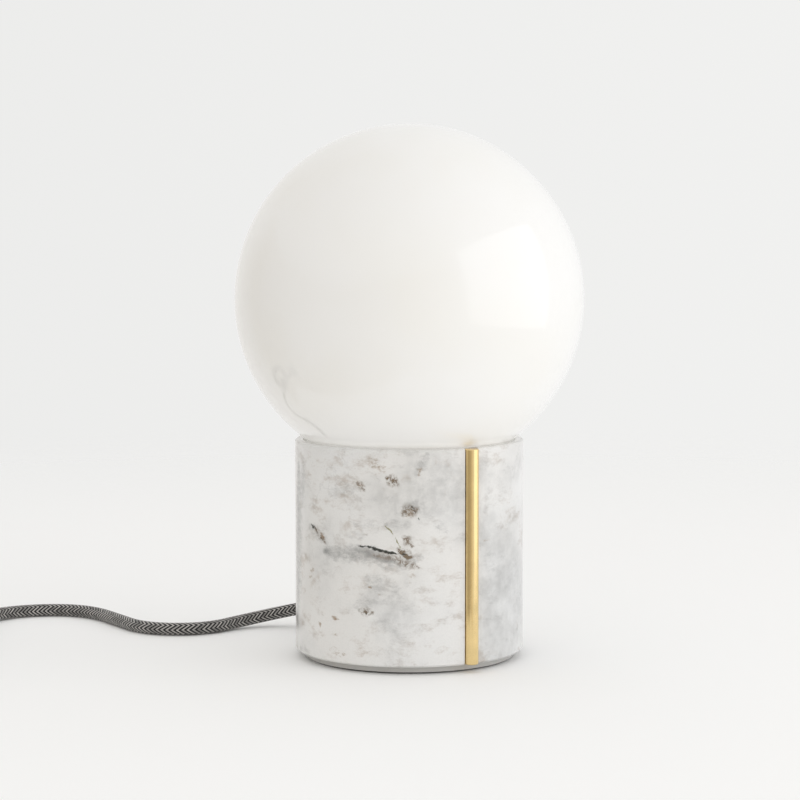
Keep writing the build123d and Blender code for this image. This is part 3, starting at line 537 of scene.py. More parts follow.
class LampStudioSettings(bpy.types.PropertyGroup):
    backdrop: colour_setting("Backdrop", "What the camera sees behind the lamp", (0.88, 0.88, 0.87))
    floor: colour_setting("Floor", "Pale floor", (0.975, 0.975, 0.97))
    key: plain_setting("Key light", "Window at the right, in watts", 5.2, 100.0)
    fill: plain_setting("Fill light", "Soft panel at the front, in watts", 1.3, 100.0)
    room: plain_setting("Room light", "Light from all round", 0.90, 10.0)


SETTINGS = {
    "lamp_marble": LampMarbleSettings,
    "lamp_glass": LampGlassSettings,
    "lamp_metal": LampMetalSettings,
    "lamp_cord": LampCordSettings,
    "lamp_studio": LampStudioSettings,
}


# ---------------------------------------------------------------- cord


def coil_corners():
    """The spline's corners from the coil's start to the plug. A corner of a curve that touches a
    circle of radius r at n places lies at r / cos(pi / n). The turns spiral in, climb a layer and
    spiral out, a pitch apart."""
    before, coil_in = np.array(CORD_ROUTE[-2]), np.array(CORD_ROUTE[-1])
    heading = (coil_in - before) / np.linalg.norm(coil_in - before)
    start = coil_in + heading * COIL_LEAD_IN
    outward = np.cross(heading, (0.0, 0.0, -1.0))
    centre = start - outward * COIL_RADIUS
    start_angle = math.atan2(outward[1], outward[0])
    half = COIL_TURNS / 2
    turns = (np.arange(COIL_TURNS * COIL_POINTS) + 0.5) / COIL_POINTS
    angle = start_angle - 2 * math.pi * turns
    radius = COIL_RADIUS - COIL_PITCH * (half - np.abs(turns - half))
    radius = radius / math.cos(math.pi / COIL_POINTS)
    share = np.clip((turns - half + COIL_CLIMB) / (2 * COIL_CLIMB), 0.0, 1.0)
    height = COIL_PITCH * (1 - np.cos(math.pi * share)) / 2
    coil = centre + np.stack([radius * np.cos(angle), radius * np.sin(angle), height], 1)
    leaving = start + (0.0, 0.0, COIL_PITCH)
    heights = (leaving[2], leaving[2], PLUG_AXIS_Z, PLUG_AXIS_Z)
    tail = [(*(leaving + heading * run)[:2], z) for run, z in zip(TAIL_RUNS, heights)]
    return coil, tail, centre, heading, outward


def cord_line():
    """The cord's centre line: points read from a NURBS spline through the route's corners."""
    coil, tail, *_ = coil_corners()
    corners = [CORD_EXIT, *CORD_ROUTE, *map(tuple, coil), *tail]
    curve = bpy.data.curves.new("cord_route", "CURVE")
    curve.dimensions = "3D"
    spline = curve.splines.new("NURBS")
    spline.points.add(len(corners) - 1)
    spline.points.foreach_set("co", np.array([(*corner, 1.0) for corner in corners]).ravel())
    spline.order_u = 3
    spline.use_endpoint_u = True
    spline.resolution_u = 12
    carrier = linked("cord_route", curve)
    line = bpy.data.meshes.new_from_object(carrier)
    path = np.zeros(len(line.vertices) * 3)
    line.vertices.foreach_get("co", path)
    bpy.data.objects.remove(carrier)
    bpy.data.meshes.remove(line)
    return path.reshape(-1, 3)


def along_line(path):
    """Distance of each point of a line from its start."""
    return np.concatenate([[0.0], np.cumsum(np.linalg.norm(np.diff(path, axis=0), axis=1))])


def resampled(path, distances):
    """The points of a line at those distances from its start."""
    reached = along_line(path)
    return np.stack([np.interp(distances, reached, path[:, k]) for k in range(3)], 1)


def smoothed(path, distances, span):
    """The line at those distances, each the mean over a short span, so runs between the read
    points don't show as facets."""
    offsets = np.linspace(-0.5, 0.5, 5) * span
    ends = along_line(path)[-1]
    near = np.minimum(distances, ends - distances).clip(0.0, span / 2) / (span / 2)
    return np.mean([resampled(path, distances + off * near) for off in offsets], 0)


def braid_material(settings):
    """Dark and pale yarns, each a little lighter or darker than the next, under a faint fuzz."""
    fabric = {"Roughness": 0.85, "Sheen_Weight": 0.25, "Sheen_Roughness": 0.5}
    material, g, shader = new_material("braided_cord", **fabric)
    uv = g.parts(g.node("ShaderNodeUVMap", uv_map="Pattern").outputs[0])
    here = object_coordinates(g)
    made = g.place(group("braid"), across=uv["X"], along=uv["Y"], lean=YARN_LEAN)
    fuzz = g.noise(here, 4000.0, 3.0, 0.6)
    dark = g.mix(made["Shade"], tinted(settings.dark, 0.6), tinted(settings.dark, 2.2))
    pale = g.mix(made["Shade"], tinted(settings.pale, 0.35), tinted(settings.pale, 1.15))
    colour = g.mix(made["Pale"], dark, pale)
    colour = g.mix(g.step(fuzz, 0.5, 0.9, 0.0, 0.1), colour, settings.pale)
    coat(g, shader, colour, None, g.plus(made["Height"], fuzz), 0.15, 0.1 * MM)
    return material


def strap_material(settings):
    """Plain weave: bumps where a sine across the strap meets one along it, with painted shade in the
    weave's hollows and a painted highlight on its crests.
    """
    material, g, shader = new_material("woven_strap", Roughness=0.9, Sheen_Weight=0.2)
    uv = g.node("ShaderNodeUVMap", uv_map="Pattern").outputs[0]
    cells = g.parts(g.scaled(uv, 1 / (0.7 * MM)))
    warp = g.sums("SINE", g.times(cells["X"], 2 * math.pi))
    weft = g.sums("SINE", g.times(cells["Y"], 2 * math.pi))
    weave = g.times(warp, weft)
    fuzz = g.noise(object_coordinates(g), 3000.0, 3.0, 0.6)
    high = g.plus(g.times(weave, 0.5), fuzz)
    # Painted shade and highlight: the colour follows the weave's height, darker in its hollows and paler
    # on its crests.
    dark, pale = tinted(settings.strap, 0.5), tinted(settings.strap, 2.0)
    coat(g, shader, g.mix(g.step(high, 0.0, 1.0), dark, pale), None, high, 0.6, 0.15 * MM)
    return material


def coil_strap(settings):
    """A woven strap round the coil's turns: a rounded strip carried round a rounded oblong,
    its loose end lying on its start."""
    _, _, centre, heading, outward = coil_corners()
    low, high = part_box("cord_tie")
    thick, wide = STRAP_THICK, STRAP_WIDE
    inner = COIL_RADIUS - COIL_PITCH * COIL_TURNS / 2 - settings.diameter / 2
    outer = COIL_RADIUS + settings.diameter / 2
    middle = centre + outward * (inner + outer) / 2
    middle[2] = (low.z + high.z) / 2
    half_wide, half_high = (outer - inner) / 2 + 0.6 * MM, (high.z - low.z) / 2 - thick / 2
    corner = settings.diameter / 2 + thick / 2
    turn = np.linspace(0, math.pi / 2, 10)
    quarter = np.arange(4)[:, None] * math.pi / 2 + turn[None, :]
    corners = np.array([(1, 1), (-1, 1), (-1, -1), (1, -1)])
    flat = np.stack([np.cos(quarter), np.sin(quarter)], 2)
    loop = corners[:, None, :] * (half_wide - corner, half_high - corner) + corner * flat
    loop = np.concatenate([loop.reshape(-1, 2), loop[0, :1]])
    facing = np.concatenate([flat.reshape(-1, 2), flat[0, :1]])
    run = along_line(np.concatenate([loop, 0 * loop[:, :1]], 1))
    whole = run[-1]
    distance = np.linspace(STRAP_START * whole, STRAP_END * whole, 220)
    place = np.stack([np.interp(distance % whole, run, loop[:, k]) for k in range(2)], 1)
    out = np.stack([np.interp(distance % whole, run, facing[:, k]) for k in range(2)], 1)
    out /= np.linalg.norm(out, axis=1)[:, None]
    lift = np.clip((distance / whole - STRAP_LAP) / 0.06, 0.0, 1.0)
    lift = lift * lift * (3 - 2 * lift) * (thick + 0.1 * MM)
    place = place + out * lift[:, None]
    level = np.array([*outward[:2], 0.0])
    upright = np.array([0.0, 0.0, 1.0])
    path = middle + place[:, :1] * level + place[:, 1:] * upright
    ups = out[:, :1] * level + out[:, 1:] * upright
    sides = np.repeat(heading[None, :], len(path), 0)
    section = np.linspace(0, 2 * math.pi, STRAP_SIDES, endpoint=False)
    across = np.sign(np.cos(section)) * np.abs(np.cos(section)) ** 0.25 * wide / 2
    over = np.sign(np.sin(section)) * np.abs(np.sin(section)) ** 0.7 * thick / 2
    profile = np.repeat(np.stack([across, over], 1)[None], len(path), 0)
    round_it = np.arange(STRAP_SIDES + 1) / STRAP_SIDES * 2 * (thick + wide)
    strap = swept("coil_strap", path, sides, ups, profile, (round_it, distance))
    strap.data.materials.append(strap_material(settings))
    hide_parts("cord_tie")
    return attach(strap, "base")


class LAMP_OT_cord(bpy.types.Operator):
    """Braided cord from the gland to the plug: a tube of leaning yarns round one smooth line"""

    bl_idname = "lamp.cord"
    bl_label = "Braided Cord"

    def execute(self, context):
        """radius = r - relief * (1 - (ridge + yarn) / 2), where ridge is the root of a sine across
        each column, and yarn is a sine of the phase along the cord plus a triangle wave across it,
        times the ridge."""
        settings = context.scene.lamp_cord
        line = cord_line()
        whole = along_line(line)[-1]
        yarn_pitch = settings.yarn_pitch
        braided = np.arange(0.0, BRAIDED_RUN, yarn_pitch / 8)
        rings = int((whole - BRAIDED_RUN) / COARSE_STEP)
        distances = np.concatenate([braided, np.linspace(BRAIDED_RUN, whole, rings)])
        path = smoothed(line, distances, SMOOTHING)
        path[0], path[-1] = line[0], line[-1]
        side, up = level_directions(path)
        around = 6 * settings.columns
        angle = np.arange(around) / around * 2 * math.pi
        column = np.arange(around) * settings.columns / around
        ridge = np.sqrt(np.abs(np.sin(math.pi * column)))[None, :]
        wave = np.abs((column + 1) % 2 - 1)[None, :]
        phase = 2 * (distances[:, None] / yarn_pitch + YARN_LEAN * wave)
        yarn = np.abs(np.sin(math.pi * phase)) * ridge
        fading = np.clip((BRAIDED_RUN - distances) / SMOOTHING, 0.0, 1.0)[:, None]
        yarn = yarn * fading + MEAN_YARN * (1 - fading)
        radius = settings.diameter / 2 - settings.relief * (1 - 0.5 * ridge - 0.5 * yarn)
        profile = np.stack([radius * np.cos(angle), radius * np.sin(angle)], 2)
        across = np.arange(around + 1) * settings.columns / around
        cord = swept("braided_cord", path, side, up, profile, (across, distances / yarn_pitch))
        cord.data.materials.append(braid_material(settings))
        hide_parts("cord_free", "cord_coil")
        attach(cord, "base")
        strap = coil_strap(settings)
        return {"FINISHED"}




class LAMP_OT_plug(bpy.types.Operator):
    """Plug at the cord's end, and the gland at its start"""

    bl_idname = "lamp.plug"
    bl_label = "Plug and Gland"

    def execute(self, context):
        metals = context.scene.lamp_metal
        dress(moulded("plug_plastic", (0.028, 0.028, 0.03), 0.42, 1500.0, 0.25), "plug_body")
        rubber = moulded("black_rubber", (0.022, 0.022, 0.023), 0.62, 2600.0, 0.35)
        dress(rubber, "plug_boot", "cord_gland")
        plated = metal("plated_pins", metals.tin, 0.22, (900.0, 900.0, 900.0))
        dress(plated, "plug_pins", "plug_earth_clips")
        return {"FINISHED"}


# ---------------------------------------------------------------- marble


def on_marble(across, height):
    """The point of the marble's face that lies across mm right of its axis, as the camera sees
    it, and height mm up."""
    azimuth = CAMERA_AZIMUTH + math.asin(across * MM / MARBLE_R)
    return (MARBLE_R * math.sin(azimuth), -MARBLE_R * math.cos(azimuth), height * MM)


# Marks that the stone shows, each from one place to another, as (across, height) in mm, with its
# half width in mm and how strong it is.
DARK_MARKS = [
    ((-30.0, 71.9), (-19.5, 70.6), 0.8, 1.0),
    ((-24.0, 71.6), (-6.5, 68.3), 1.0, 1.3),
    ((-17.0, 69.8), (-7.5, 68.6), 0.8, 0.95),
    ((-7.0, 69.4), (-1.0, 68.0), 1.0, 1.15),
    ((-55.9, 81.6), (-51.6, 77.6), 1.3, 1.1),
    ((-52.5, 78.0), (-49.4, 73.6), 0.8, 0.8),
    ((-25.6, 35.4), (-23.8, 33.9), 1.3, 0.9),
    ((1.2, 95.0), (3.6, 90.8), 0.9, 0.8),
    ((5.3, 89.0), (5.9, 87.6), 0.6, 1.0),
]
# Places where the stain branches into a fine net, in the same way.
NET_MARKS = [
    ((-6.0, 70.5), (0.5, 66.0), 3.2, 1.5),
    ((-3.0, 77.5), (1.5, 73.0), 2.6, 1.0),
    ((-20.0, 67.5), (-6.0, 66.0), 2.0, 0.7),
    ((-8.0, 65.0), (5.0, 60.0), 2.4, 0.9),
    ((-12.5, 110.6), (-6.6, 107.0), 3.2, 1.1),
    ((-2.8, 90.0), (3.6, 94.0), 3.6, 1.0),
    ((-53.0, 79.0), (-47.0, 71.0), 2.0, 0.9),
    ((-28.0, 36.0), (-21.0, 35.0), 2.4, 0.9),
    ((-29.0, 107.5), (-24.5, 103.0), 2.4, 0.8),
]
# Grey clouds of the stone, and painted shade at its left edge.
GREY_MARKS_AND_EDGE_SHADE = [
    ((-46.9, 67.1), (-11.2, 66.4), 6.0, 0.9),
    ((-30.0, 70.0), (-8.0, 64.0), 4.5, 0.9),
    ((-14.0, 61.0), (6.0, 66.5), 6.0, 0.5),
    ((-1.8, 90.7), (3.6, 97.3), 4.5, 0.6),
    ((-34.0, 77.0), (-24.0, 78.0), 5.0, 0.3),
    ((-56.0, 80.0), (-46.0, 72.0), 5.0, 0.5),
    ((-30.0, 38.0), (-20.0, 41.0), 5.0, 0.45),
    ((9.7, 123.6), (4.0, 112.0), 3.6, 0.55),
    # The next two run down the marble's left edge as the camera sees it: partly grey stone, partly painted
    # shade of the side turned from the light.
    ((-60.0, 116.0), (-61.0, 90.0), 6.0, 0.4),
    ((-63.0, 112.0), (-64.0, 20.0), 9.0, 0.75),
    ((-44.0, 100.0), (-30.0, 104.0), 6.0, 0.35),
    ((-24.0, 54.0), (-6.0, 48.0), 7.0, 0.35),
    ((-30.0, 84.0), (0.0, 84.0), 6.0, 0.3),
    ((14.0, 86.0), (20.0, 80.0), 5.0, 0.3),
]
BROWN_MARKS = [
    ((-22.2, 120.9), (-14.0, 114.0), 4.6, 0.5),
    ((-29.0, 107.5), (-24.5, 105.0), 2.4, 0.5),
    ((-51.6, 78.0), (-47.4, 73.6), 1.7, 0.7),
    ((-43.0, 30.6), (-38.6, 29.2), 1.9, 0.75),
    ((-51.2, 26.2), (-49.6, 25.2), 1.5, 0.7),
    ((-42.0, 20.6), (-40.4, 19.6), 1.2, 0.65),
    ((-44.0, 11.5), (-36.0, 9.5), 3.4, 0.35),
    ((-17.6, 45.6), (-15.8, 44.6), 1.0, 0.6),
    ((-22.4, 49.8), (-21.0, 48.8), 1.0, 0.6),
    ((1.5, 92.0), (-1.0, 89.0), 3.0, 0.6),
    ((6.5, 116.0), (5.0, 111.5), 2.0, 0.55),
    ((3.0, 60.0), (0.5, 52.0), 2.4, 0.35),
    ((45.0, 76.0), (38.5, 70.0), 3.0, 0.3),
    ((-53.0, 57.0), (-57.0, 50.0), 3.2, 0.4),
]
OLIVE_MARKS = [((-13.6, 83.5), (-7.8, 77.6), 0.45, 1.2), ((-8.2, 78.2), (-4.0, 70.6), 0.5, 1.2)]
PALE_BAND = ((38.6, 53.4), (54.0, 62.0), 4.2, 0.7)
MARK_SPREAD = 1.6  # a mask's width over a mark's
# Below these heights the stone is honed, and its colour is painted darker with the shade of the recess.
FOOT_EDGE = (5.1 * MM, 4.2 * MM)  # heights between which the polish ends


def strongest_mark(g, vector, marks):
    """The strongest of several vein masks."""
    total = None
    for start, end, width, strength in marks:
        ends = {"start": on_marble(*start), "end": on_marble(*end)}
        made = g.place(group("vein"), vector=vector, **ends, width=MARK_SPREAD * width * MM)
        mask = g.times(made["Mask"], strength)
        total = mask if total is None else g.sums("MAXIMUM", total, mask)
    return total


def thin_veins(g, here, loose, colour, settings):
    """Faint hair lines where a noise crosses its middle, and scattered iron stains."""
    line = g.sums("ABSOLUTE", g.minus(g.noise(loose, 17.0, 6.0, 0.6), 0.5))
    where = g.step(g.noise(here, 13.0, 2.0, 0.5), 0.5, 0.66)
    hair = g.times(g.step(line, 0.012, 0.0), where)
    colour = g.mix(g.times(hair, 0.18), colour, settings.cloud)
    spots = g.noise(g.warp(here, 90.0, 5 * MM), 52.0, 4.0, 0.65)
    where = g.step(g.noise(g.vector("ADD", here, (0.3, 0.1, 0.2)), 15.0, 2.0, 0.5), 0.47, 0.62)
    stain = g.times(g.step(spots, 0.57, 0.75), where)
    return g.mix(g.times(stain, 0.40), colour, settings.stain)


def right_cloud(g, broken, loose, colour, settings):
    """The grey body of the stone on the right of the bar, crossed by a paler band."""
    across = g.vector("DOT_PRODUCT", broken, tuple(direction(90, 0)))
    height = g.parts(broken)["Z"]
    body = g.times(g.step(across, 34 * MM, 42 * MM), g.step(height, 98 * MM, 84 * MM))
    mottle = g.noise(loose, 38.0, 6.0, 0.65)
    body = g.times(body, g.step(mottle, 0.28, 0.66, 0.3, 1.0))
    band = strongest_mark(g, broken, [PALE_BAND])
    body = g.times(body, g.minus(1.0, band))
    return g.mix(g.times(body, 0.25), colour, settings.cloud)


class LAMP_OT_marble(bpy.types.Operator):
    """White marble of the base, with its clouds, stains and veins, painted shade on its recessed foot and
    painted shade along its left edge
    """

    bl_idname = "lamp.marble"
    bl_label = "Marble Base"

    def execute(self, context):
        settings = context.scene.lamp_marble
        material, g, shader = new_material("white_marble", Specular_IOR_Level=0.5)
        here = object_coordinates(g)
        loose = g.warp(here, 24.0, 12 * MM)
        broken = g.warp(g.warp(here, 70.0, 5 * MM), 380.0, 1.6 * MM)
        soft = g.noise(loose, 19.0, 5.0, 0.55)
        fine = g.noise(broken, 160.0, 5.0, 0.65)
        colour = g.mix(
            g.step(g.noise(loose, 11.0, 3.0, 0.5), 0.35, 0.65),
            tinted(settings.white, 0.99, 0.975, 0.955),
            settings.white,
        )
        haze = g.times(g.step(soft, 0.44, 0.70), g.step(fine, 0.25, 0.7, 0.3, 1.0))
        colour = g.mix(g.times(haze, 0.5), colour, settings.cloud)
        mottle = g.noise(g.vector("MULTIPLY", broken, (1.0, 1.0, 1.9)), 60.0, 9.0, 0.74)
        warm = g.mix(g.step(soft, 0.4, 0.6), settings.stain, settings.cloud)
        colour = g.mix(g.step(mottle, 0.49, 0.72, 0.0, 0.5), colour, warm)
        crystal = g.noise(here, 1100.0, 2.0, 0.5)
        colour = g.mix(g.step(crystal, 0.35, 0.75, 0.0, 0.07), colour, settings.cloud)
        colour = thin_veins(g, here, loose, colour, settings)
        colour = right_cloud(g, broken, loose, colour, settings)
        wisps = g.noise(g.vector("MULTIPLY", broken, (1.0, 1.0, 2.0)), 260.0, 6.0, 0.78)
        for marks, tint, low, high, bite in (
            (GREY_MARKS_AND_EDGE_SHADE, tinted(settings.cloud, 0.85), 0.0, 1.25, 1.7),
            (BROWN_MARKS, settings.stain, 0.22, 1.05, 2.8),
            (OLIVE_MARKS, (0.29, 0.28, 0.16), 0.0, 1.0, 1.6),
            (DARK_MARKS, settings.vein, 0.28, 1.0, 2.6),
        ):
            mask = strongest_mark(g, broken, marks)
            eroded = g.plus(mask, g.times(g.minus(wisps, 0.5), bite))
            eroded = g.times(g.step(eroded, low, high), g.step(mask, 0.0, 0.25))
            colour = g.mix(eroded, colour, tint)
        net = g.step(g.noise(broken, 520.0, 6.0, 0.7), 0.43, 0.56, 0.15, 1.0)
        net = g.times(net, strongest_mark(g, broken, NET_MARKS))
        colour = g.mix(net, colour, tuple((a + b) / 2 for a, b in zip(settings.vein, settings.stain)))
        # Painted shade: the recessed foot takes the darker foot colour, partly honed stone and partly the
        # shade under the marble's edge; it is also rougher.
        height = g.parts(here)["Z"]
        honed_shaded_foot = g.step(height, *FOOT_EDGE)
        colour = g.mix(g.times(honed_shaded_foot, 0.85), colour, settings.honed_shaded_foot)
        rough = g.plus(settings.roughness - 0.04, g.times(fine, 0.1))
        rough = g.plus(rough, g.times(honed_shaded_foot, 0.3))
        relief = g.plus(fine, g.times(crystal, 0.3))
        coat(g, shader, colour, rough, relief, 0.06, 0.08 * MM)
        dress(material, "marble_body")
        return {"FINISHED"}



# ---------------------------------------------------------------- glass


# Height of the painted glow on the glass above the marble's rim.
PAINTED_GLOW_HEIGHT = 5 * MM  # of the glass above the marble's rim


def glass_material(name, colour, roughness, through=0.0):
    """White opal glass under a clear skin: an even body colour, a hard gloss and faint ripples.
    Close above the marble's rim, where the outside is shaded, the glass has a painted glow: it emits
    light, as strong as its last argument says, though the lamp is off."""
    material, g, shader = new_material(name, IOR=1.5, Coat_Weight=0.4, Coat_Roughness=0.03, Coat_IOR=1.5)
    here = object_coordinates(g)
    depth = g.noise(here, 14.0, 2.0, 0.5)
    thin = tinted(colour, 0.985, 0.98, 0.965)
    milky = g.mix(g.step(depth, 0.35, 0.65), thin, colour)
    rough = g.plus(roughness, g.times(g.noise(here, 60.0, 2.0), 0.03))
    ripple = g.noise(here, 26.0, 1.0, 0.4)
    coat(g, shader, milky, rough, ripple, 0.02, 1.0 * MM)
    # Painted glow: emission near the seat lightens the shade between the glass and the marble's rim.
    painted_glow_mask = g.step(g.parts(here)["Z"], MARBLE_TOP + PAINTED_GLOW_HEIGHT, MARBLE_TOP)
    g.feed(shader["Emission Color"], g.mix(painted_glow_mask, (0.0, 0.0, 0.0), (1.0, 0.985, 0.95)))
    shader["Emission Strength"].default_value = through
    return material


class LAMP_OT_globe(bpy.types.Operator):
    """Opal glass globe"""

    bl_idname = "lamp.globe"
    bl_label = "Glass Globe"

    def execute(self, context):
        settings = context.scene.lamp_glass
        # 0.2 is the strength of the painted glow above the rim.
        dress(glass_material("opal_glass", settings.opal, settings.roughness, 0.2), "glass_globe")
        return {"FINISHED"}


# ---------------------------------------------------------------- metal and fittings


class LAMP_OT_brass_bar(bpy.types.Operator):
    """Brushed brass bar in the marble's groove, and its studs"""

    bl_idname = "lamp.brass_bar"
    bl_label = "Brass Bar"

    def execute(self, context):
        brass = context.scene.lamp_metal.brass
        dress(metal("satin_brass", brass, 0.13, (3000.0, 3000.0, 25.0), 0.5, 0.08), "brass_bar")
        dress(metal("turned_brass", brass, 0.3, (400.0, 5200.0, 400.0)), "bar_studs")
        return {"FINISHED"}


class LAMP_OT_seat_and_foot(bpy.types.Operator):
    """Ring under the globe, and the felt under the base"""

    bl_idname = "lamp.seat_and_foot"
    bl_label = "Seat Ring and Foot"

    def execute(self, context):
        dress(moulded("clear_silicone", (0.88, 0.88, 0.86), 0.4, 900.0, 0.1, 0.04), "seat_ring")
        material, g, shader = new_material("felt", Roughness=1.0, Sheen_Weight=0.4, Sheen_Roughness=0.6)
        here = object_coordinates(g)
        fibres = g.noise(g.warp(here, 900.0, 1.5 * MM), 1500.0, 5.0, 0.75)
        patches = g.noise(here, 70.0, 3.0, 0.5)
        grey = g.mix(g.step(fibres, 0.3, 0.7), (0.045, 0.043, 0.042), (0.14, 0.135, 0.13))
        worn = g.mix(g.step(patches, 0.3, 0.8, 0.0, 0.3), grey, (0.07, 0.068, 0.066))
        coat(g, shader, worn, None, fibres, 0.8, 0.25 * MM)
        dress(material, "foot_pad")
        return {"FINISHED"}


class LAMP_OT_fittings(bpy.types.Operator):
    """Steel and plastic parts inside the base"""

    bl_idname = "lamp.fittings"
    bl_label = "Inner Fittings"

    def execute(self, context):
        metals = context.scene.lamp_metal
        steel = metal("zinc_steel", metals.steel, 0.34, (260.0, 1900.0, 700.0), 0.5)
        dress(steel, "bottom_plate", "tube_washers", "carrier_disc", "bar_washer", "bar_nuts", "tube_nuts")
        dress(steel, "central_tube", "clamp_screws")
        dress(metal("tinned_tags", metals.tin, 0.28, (700.0, 700.0, 700.0)), "earth_tag", "sensor_tag")
        dress(moulded("black_plastic", (0.03, 0.03, 0.032), 0.45), "bar_saddles", "dimmer_module")
        white = moulded("white_plastic", (0.80, 0.80, 0.76), 0.4, 1800.0, 0.12, 0.05)
        dress(white, "bar_spacers", "terminal_block")
        grey = moulded("grey_plastic", (0.42, 0.42, 0.41), 0.5, 1800.0, 0.15, 0.06)
        dress(grey, "clamp_saddle", "clamp_bar")
        return {"FINISHED"}


THREAD_SEGMENTS = 72


def thread(pitch, depth):
    """Half the depth times the cosine of a right-hand helix's phase."""
    return lambda height, angle: depth / 2 * np.cos(2 * math.pi * height / pitch - angle)


def threaded_wall(low, high, outer, wall, fade, rows, top_lean=0.0, foot_lean=0.0):
    """Rows of (radius, height, share of relief): up the outside and down the inside of a thin
    tube whose thread fades out over its ends, which lean out by top_lean and foot_lean there, so
    that two such tubes turn past each other."""
    height = np.linspace(low, high, rows)
    share = np.clip(np.minimum(height - low, high - height) / fade - 0.3, 0.0, 1.0)
    lean = np.where(height > (low + high) / 2, top_lean, foot_lean) * (1 - share)
    up = np.stack([outer + lean, height, share], 1)
    down = np.stack([outer - wall + lean, height, share], 1)[::-1]
    return np.concatenate([up, down])


class LAMP_OT_lampholder(bpy.types.Operator):
    """Lampholder, with the thread rolled into its shell"""

    bl_idname = "lamp.lampholder"
    bl_label = "Lampholder"

    def execute(self, context):
        metals = context.scene.lamp_metal
        pitch, depth = metals.thread_pitch, metals.thread_depth
        low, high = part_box("screw_shell")
        outer = high.x - depth / 2 - 0.1 * MM
        profile = threaded_wall(low.z, high.z, outer, 0.6 * MM, 2.5 * MM, 110, depth / 2)
        shell = turned("threaded_shell", profile, THREAD_SEGMENTS, thread(pitch, depth))
        rolled = metal("rolled_brass", metals.brass, 0.28, (700.0, 700.0, 2500.0), 0.4, 0.08)
        shell.data.materials.append(rolled)
        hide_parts("screw_shell")
        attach(shell, "base")
        dress(metal("contact_brass", metals.brass, 0.3, (1500.0, 300.0, 1500.0)), "centre_contact")
        plastic = moulded("holder_plastic", (0.026, 0.026, 0.028), 0.36, 1600.0, 0.12)
        dress(plastic, "lampholder_cap", "lampholder_body")
        dress(moulded("porcelain", (0.84, 0.83, 0.79), 0.2, 700.0, 0.08, 0.04), "lampholder_core")
        return {"FINISHED"}


class LAMP_OT_bulb(bpy.types.Operator):
    """Opal bulb, with the thread rolled into its cap"""

    bl_idname = "lamp.bulb"
    bl_label = "Bulb"

    def execute(self, context):
        metals = context.scene.lamp_metal
        pitch, depth = metals.thread_pitch, metals.thread_depth
        low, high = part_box("bulb_cap")
        outer = high.x - depth / 2
        profile = threaded_wall(low.z, high.z, outer, 0.5 * MM, 3.0 * MM, 100, 0.0, -depth / 2)
        cap = turned("threaded_cap", profile, THREAD_SEGMENTS, thread(pitch, depth))
        plated = metal("plated_cap", metals.steel, 0.22, (600.0, 600.0, 2500.0), 0.4, 0.08)
        cap.data.materials.append(plated)
        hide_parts("bulb_cap")
        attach(cap, "bulb")
        settings = context.scene.lamp_glass
        dress(glass_material("bulb_opal", settings.bulb, 0.15), "bulb_glass")
        dress(metal("solder", metals.tin, 0.4, (500.0, 500.0, 500.0), 0.6, 0.3), "bulb_tip")
        dress(moulded("black_glass", (0.01, 0.01, 0.012), 0.08, 500.0, 0.05), "bulb_insulator")
        return {"FINISHED"}


def insulation(name, first, second, bands=None):
    """Two colours of insulation: left and right of the middle, or in slanting stripes."""
    material, g, shader = new_material(name)
    here = object_coordinates(g)
    made = g.place(group("moulded"), vector=here, grain=900.0)
    x, _, z = g.parts(here)
    if bands is None:
        share = g.step(x, -0.3 * MM, 0.3 * MM)
    else:
        slant = g.times(g.plus(x, z), bands)
        share = g.step(g.sums("FRACT", slant), 0.48, 0.52)
    colour = g.mix(share, first, second)
    colour = g.mix(g.step(made["Tone"], 0.2, 0.9, 0.0, 0.2), colour, (0.5, 0.5, 0.5))
    rough = g.plus(g.times(made["Roughness"], 0.3), 0.35)
    coat(g, shader, colour, rough, made["Height"], 0.1, SCRATCH)
    return material


class LAMP_OT_wiring(bpy.types.Operator):
    """Insulated wires inside the base"""

    bl_idname = "lamp.wiring"
    bl_label = "Wiring"

    def execute(self, context):
        pair = insulation("brown_and_blue", (0.16, 0.06, 0.025), (0.02, 0.08, 0.32))
        dress(pair, "dimmer_leads", "lampholder_leads", "cord_cores")
        earth = insulation("earth_insulation", (0.05, 0.26, 0.06), (0.62, 0.55, 0.03), 180.0)
        dress(earth, "earth_wire")
        dress(moulded("sensor_insulation", (0.45, 0.04, 0.03), 0.35, 900.0, 0.08), "sensor_wire")
        dress(moulded("sheath", (0.05, 0.05, 0.052), 0.5, 1400.0, 0.2), "cord_inner")
        return {"FINISHED"}



# ---------------------------------------------------------------- stage

# Lamps: azimuth and elevation in degrees as direction() takes them, distance, width and height.
WINDOW = (69, 12, 1.5, 1.9, 1.4)
PANEL = (-12, 5, 1.5, 1.2, 1.0)
AIM_HEIGHT = 0.18  # the point of the lamp's axis that they face

FLOOR_RINGS = (0.0001, 0.3, 0.6, 0.9, 1.3, 1.8)
FLOOR_SEGMENTS = 96
FLOOR_FADE = (0.5, 1.3)  # radii between which the floor passes into the backdrop
MIRRORED_EDGE = (0.265, 0.27)  # where it ends in reflections, along a diamond's sides

# The room that the glass mirrors. Azimuths run to the right of the camera, and a height is the Z
# of a direction.
ROOM_CORNER = math.radians(-49)
WALL_FOOT = 0.13  # height of the bright walls' lower edge at the corner
WALL_FOOT_RISE = 0.22  # what it gains per radian each side
WALL_FOOT_BLUR = 0.012
DARK_LEFT = (math.radians(-135), math.radians(-115))
DARK_RIGHT = (math.radians(35), math.radians(0))
SHADE_AZIMUTH = -68  # degrees
SHADE_STRENGTH = 0.40


def direction(azimuth, elevation):
    """Unit vector that points from the lamp to that azimuth, in degrees to the right of the
    camera as seen from the lamp's front, and that elevation."""
    a = CAMERA_AZIMUTH + math.radians(azimuth)
    e = math.radians(elevation)
    return Vector((math.sin(a) * math.cos(e), -math.cos(a) * math.cos(e), math.sin(e)))


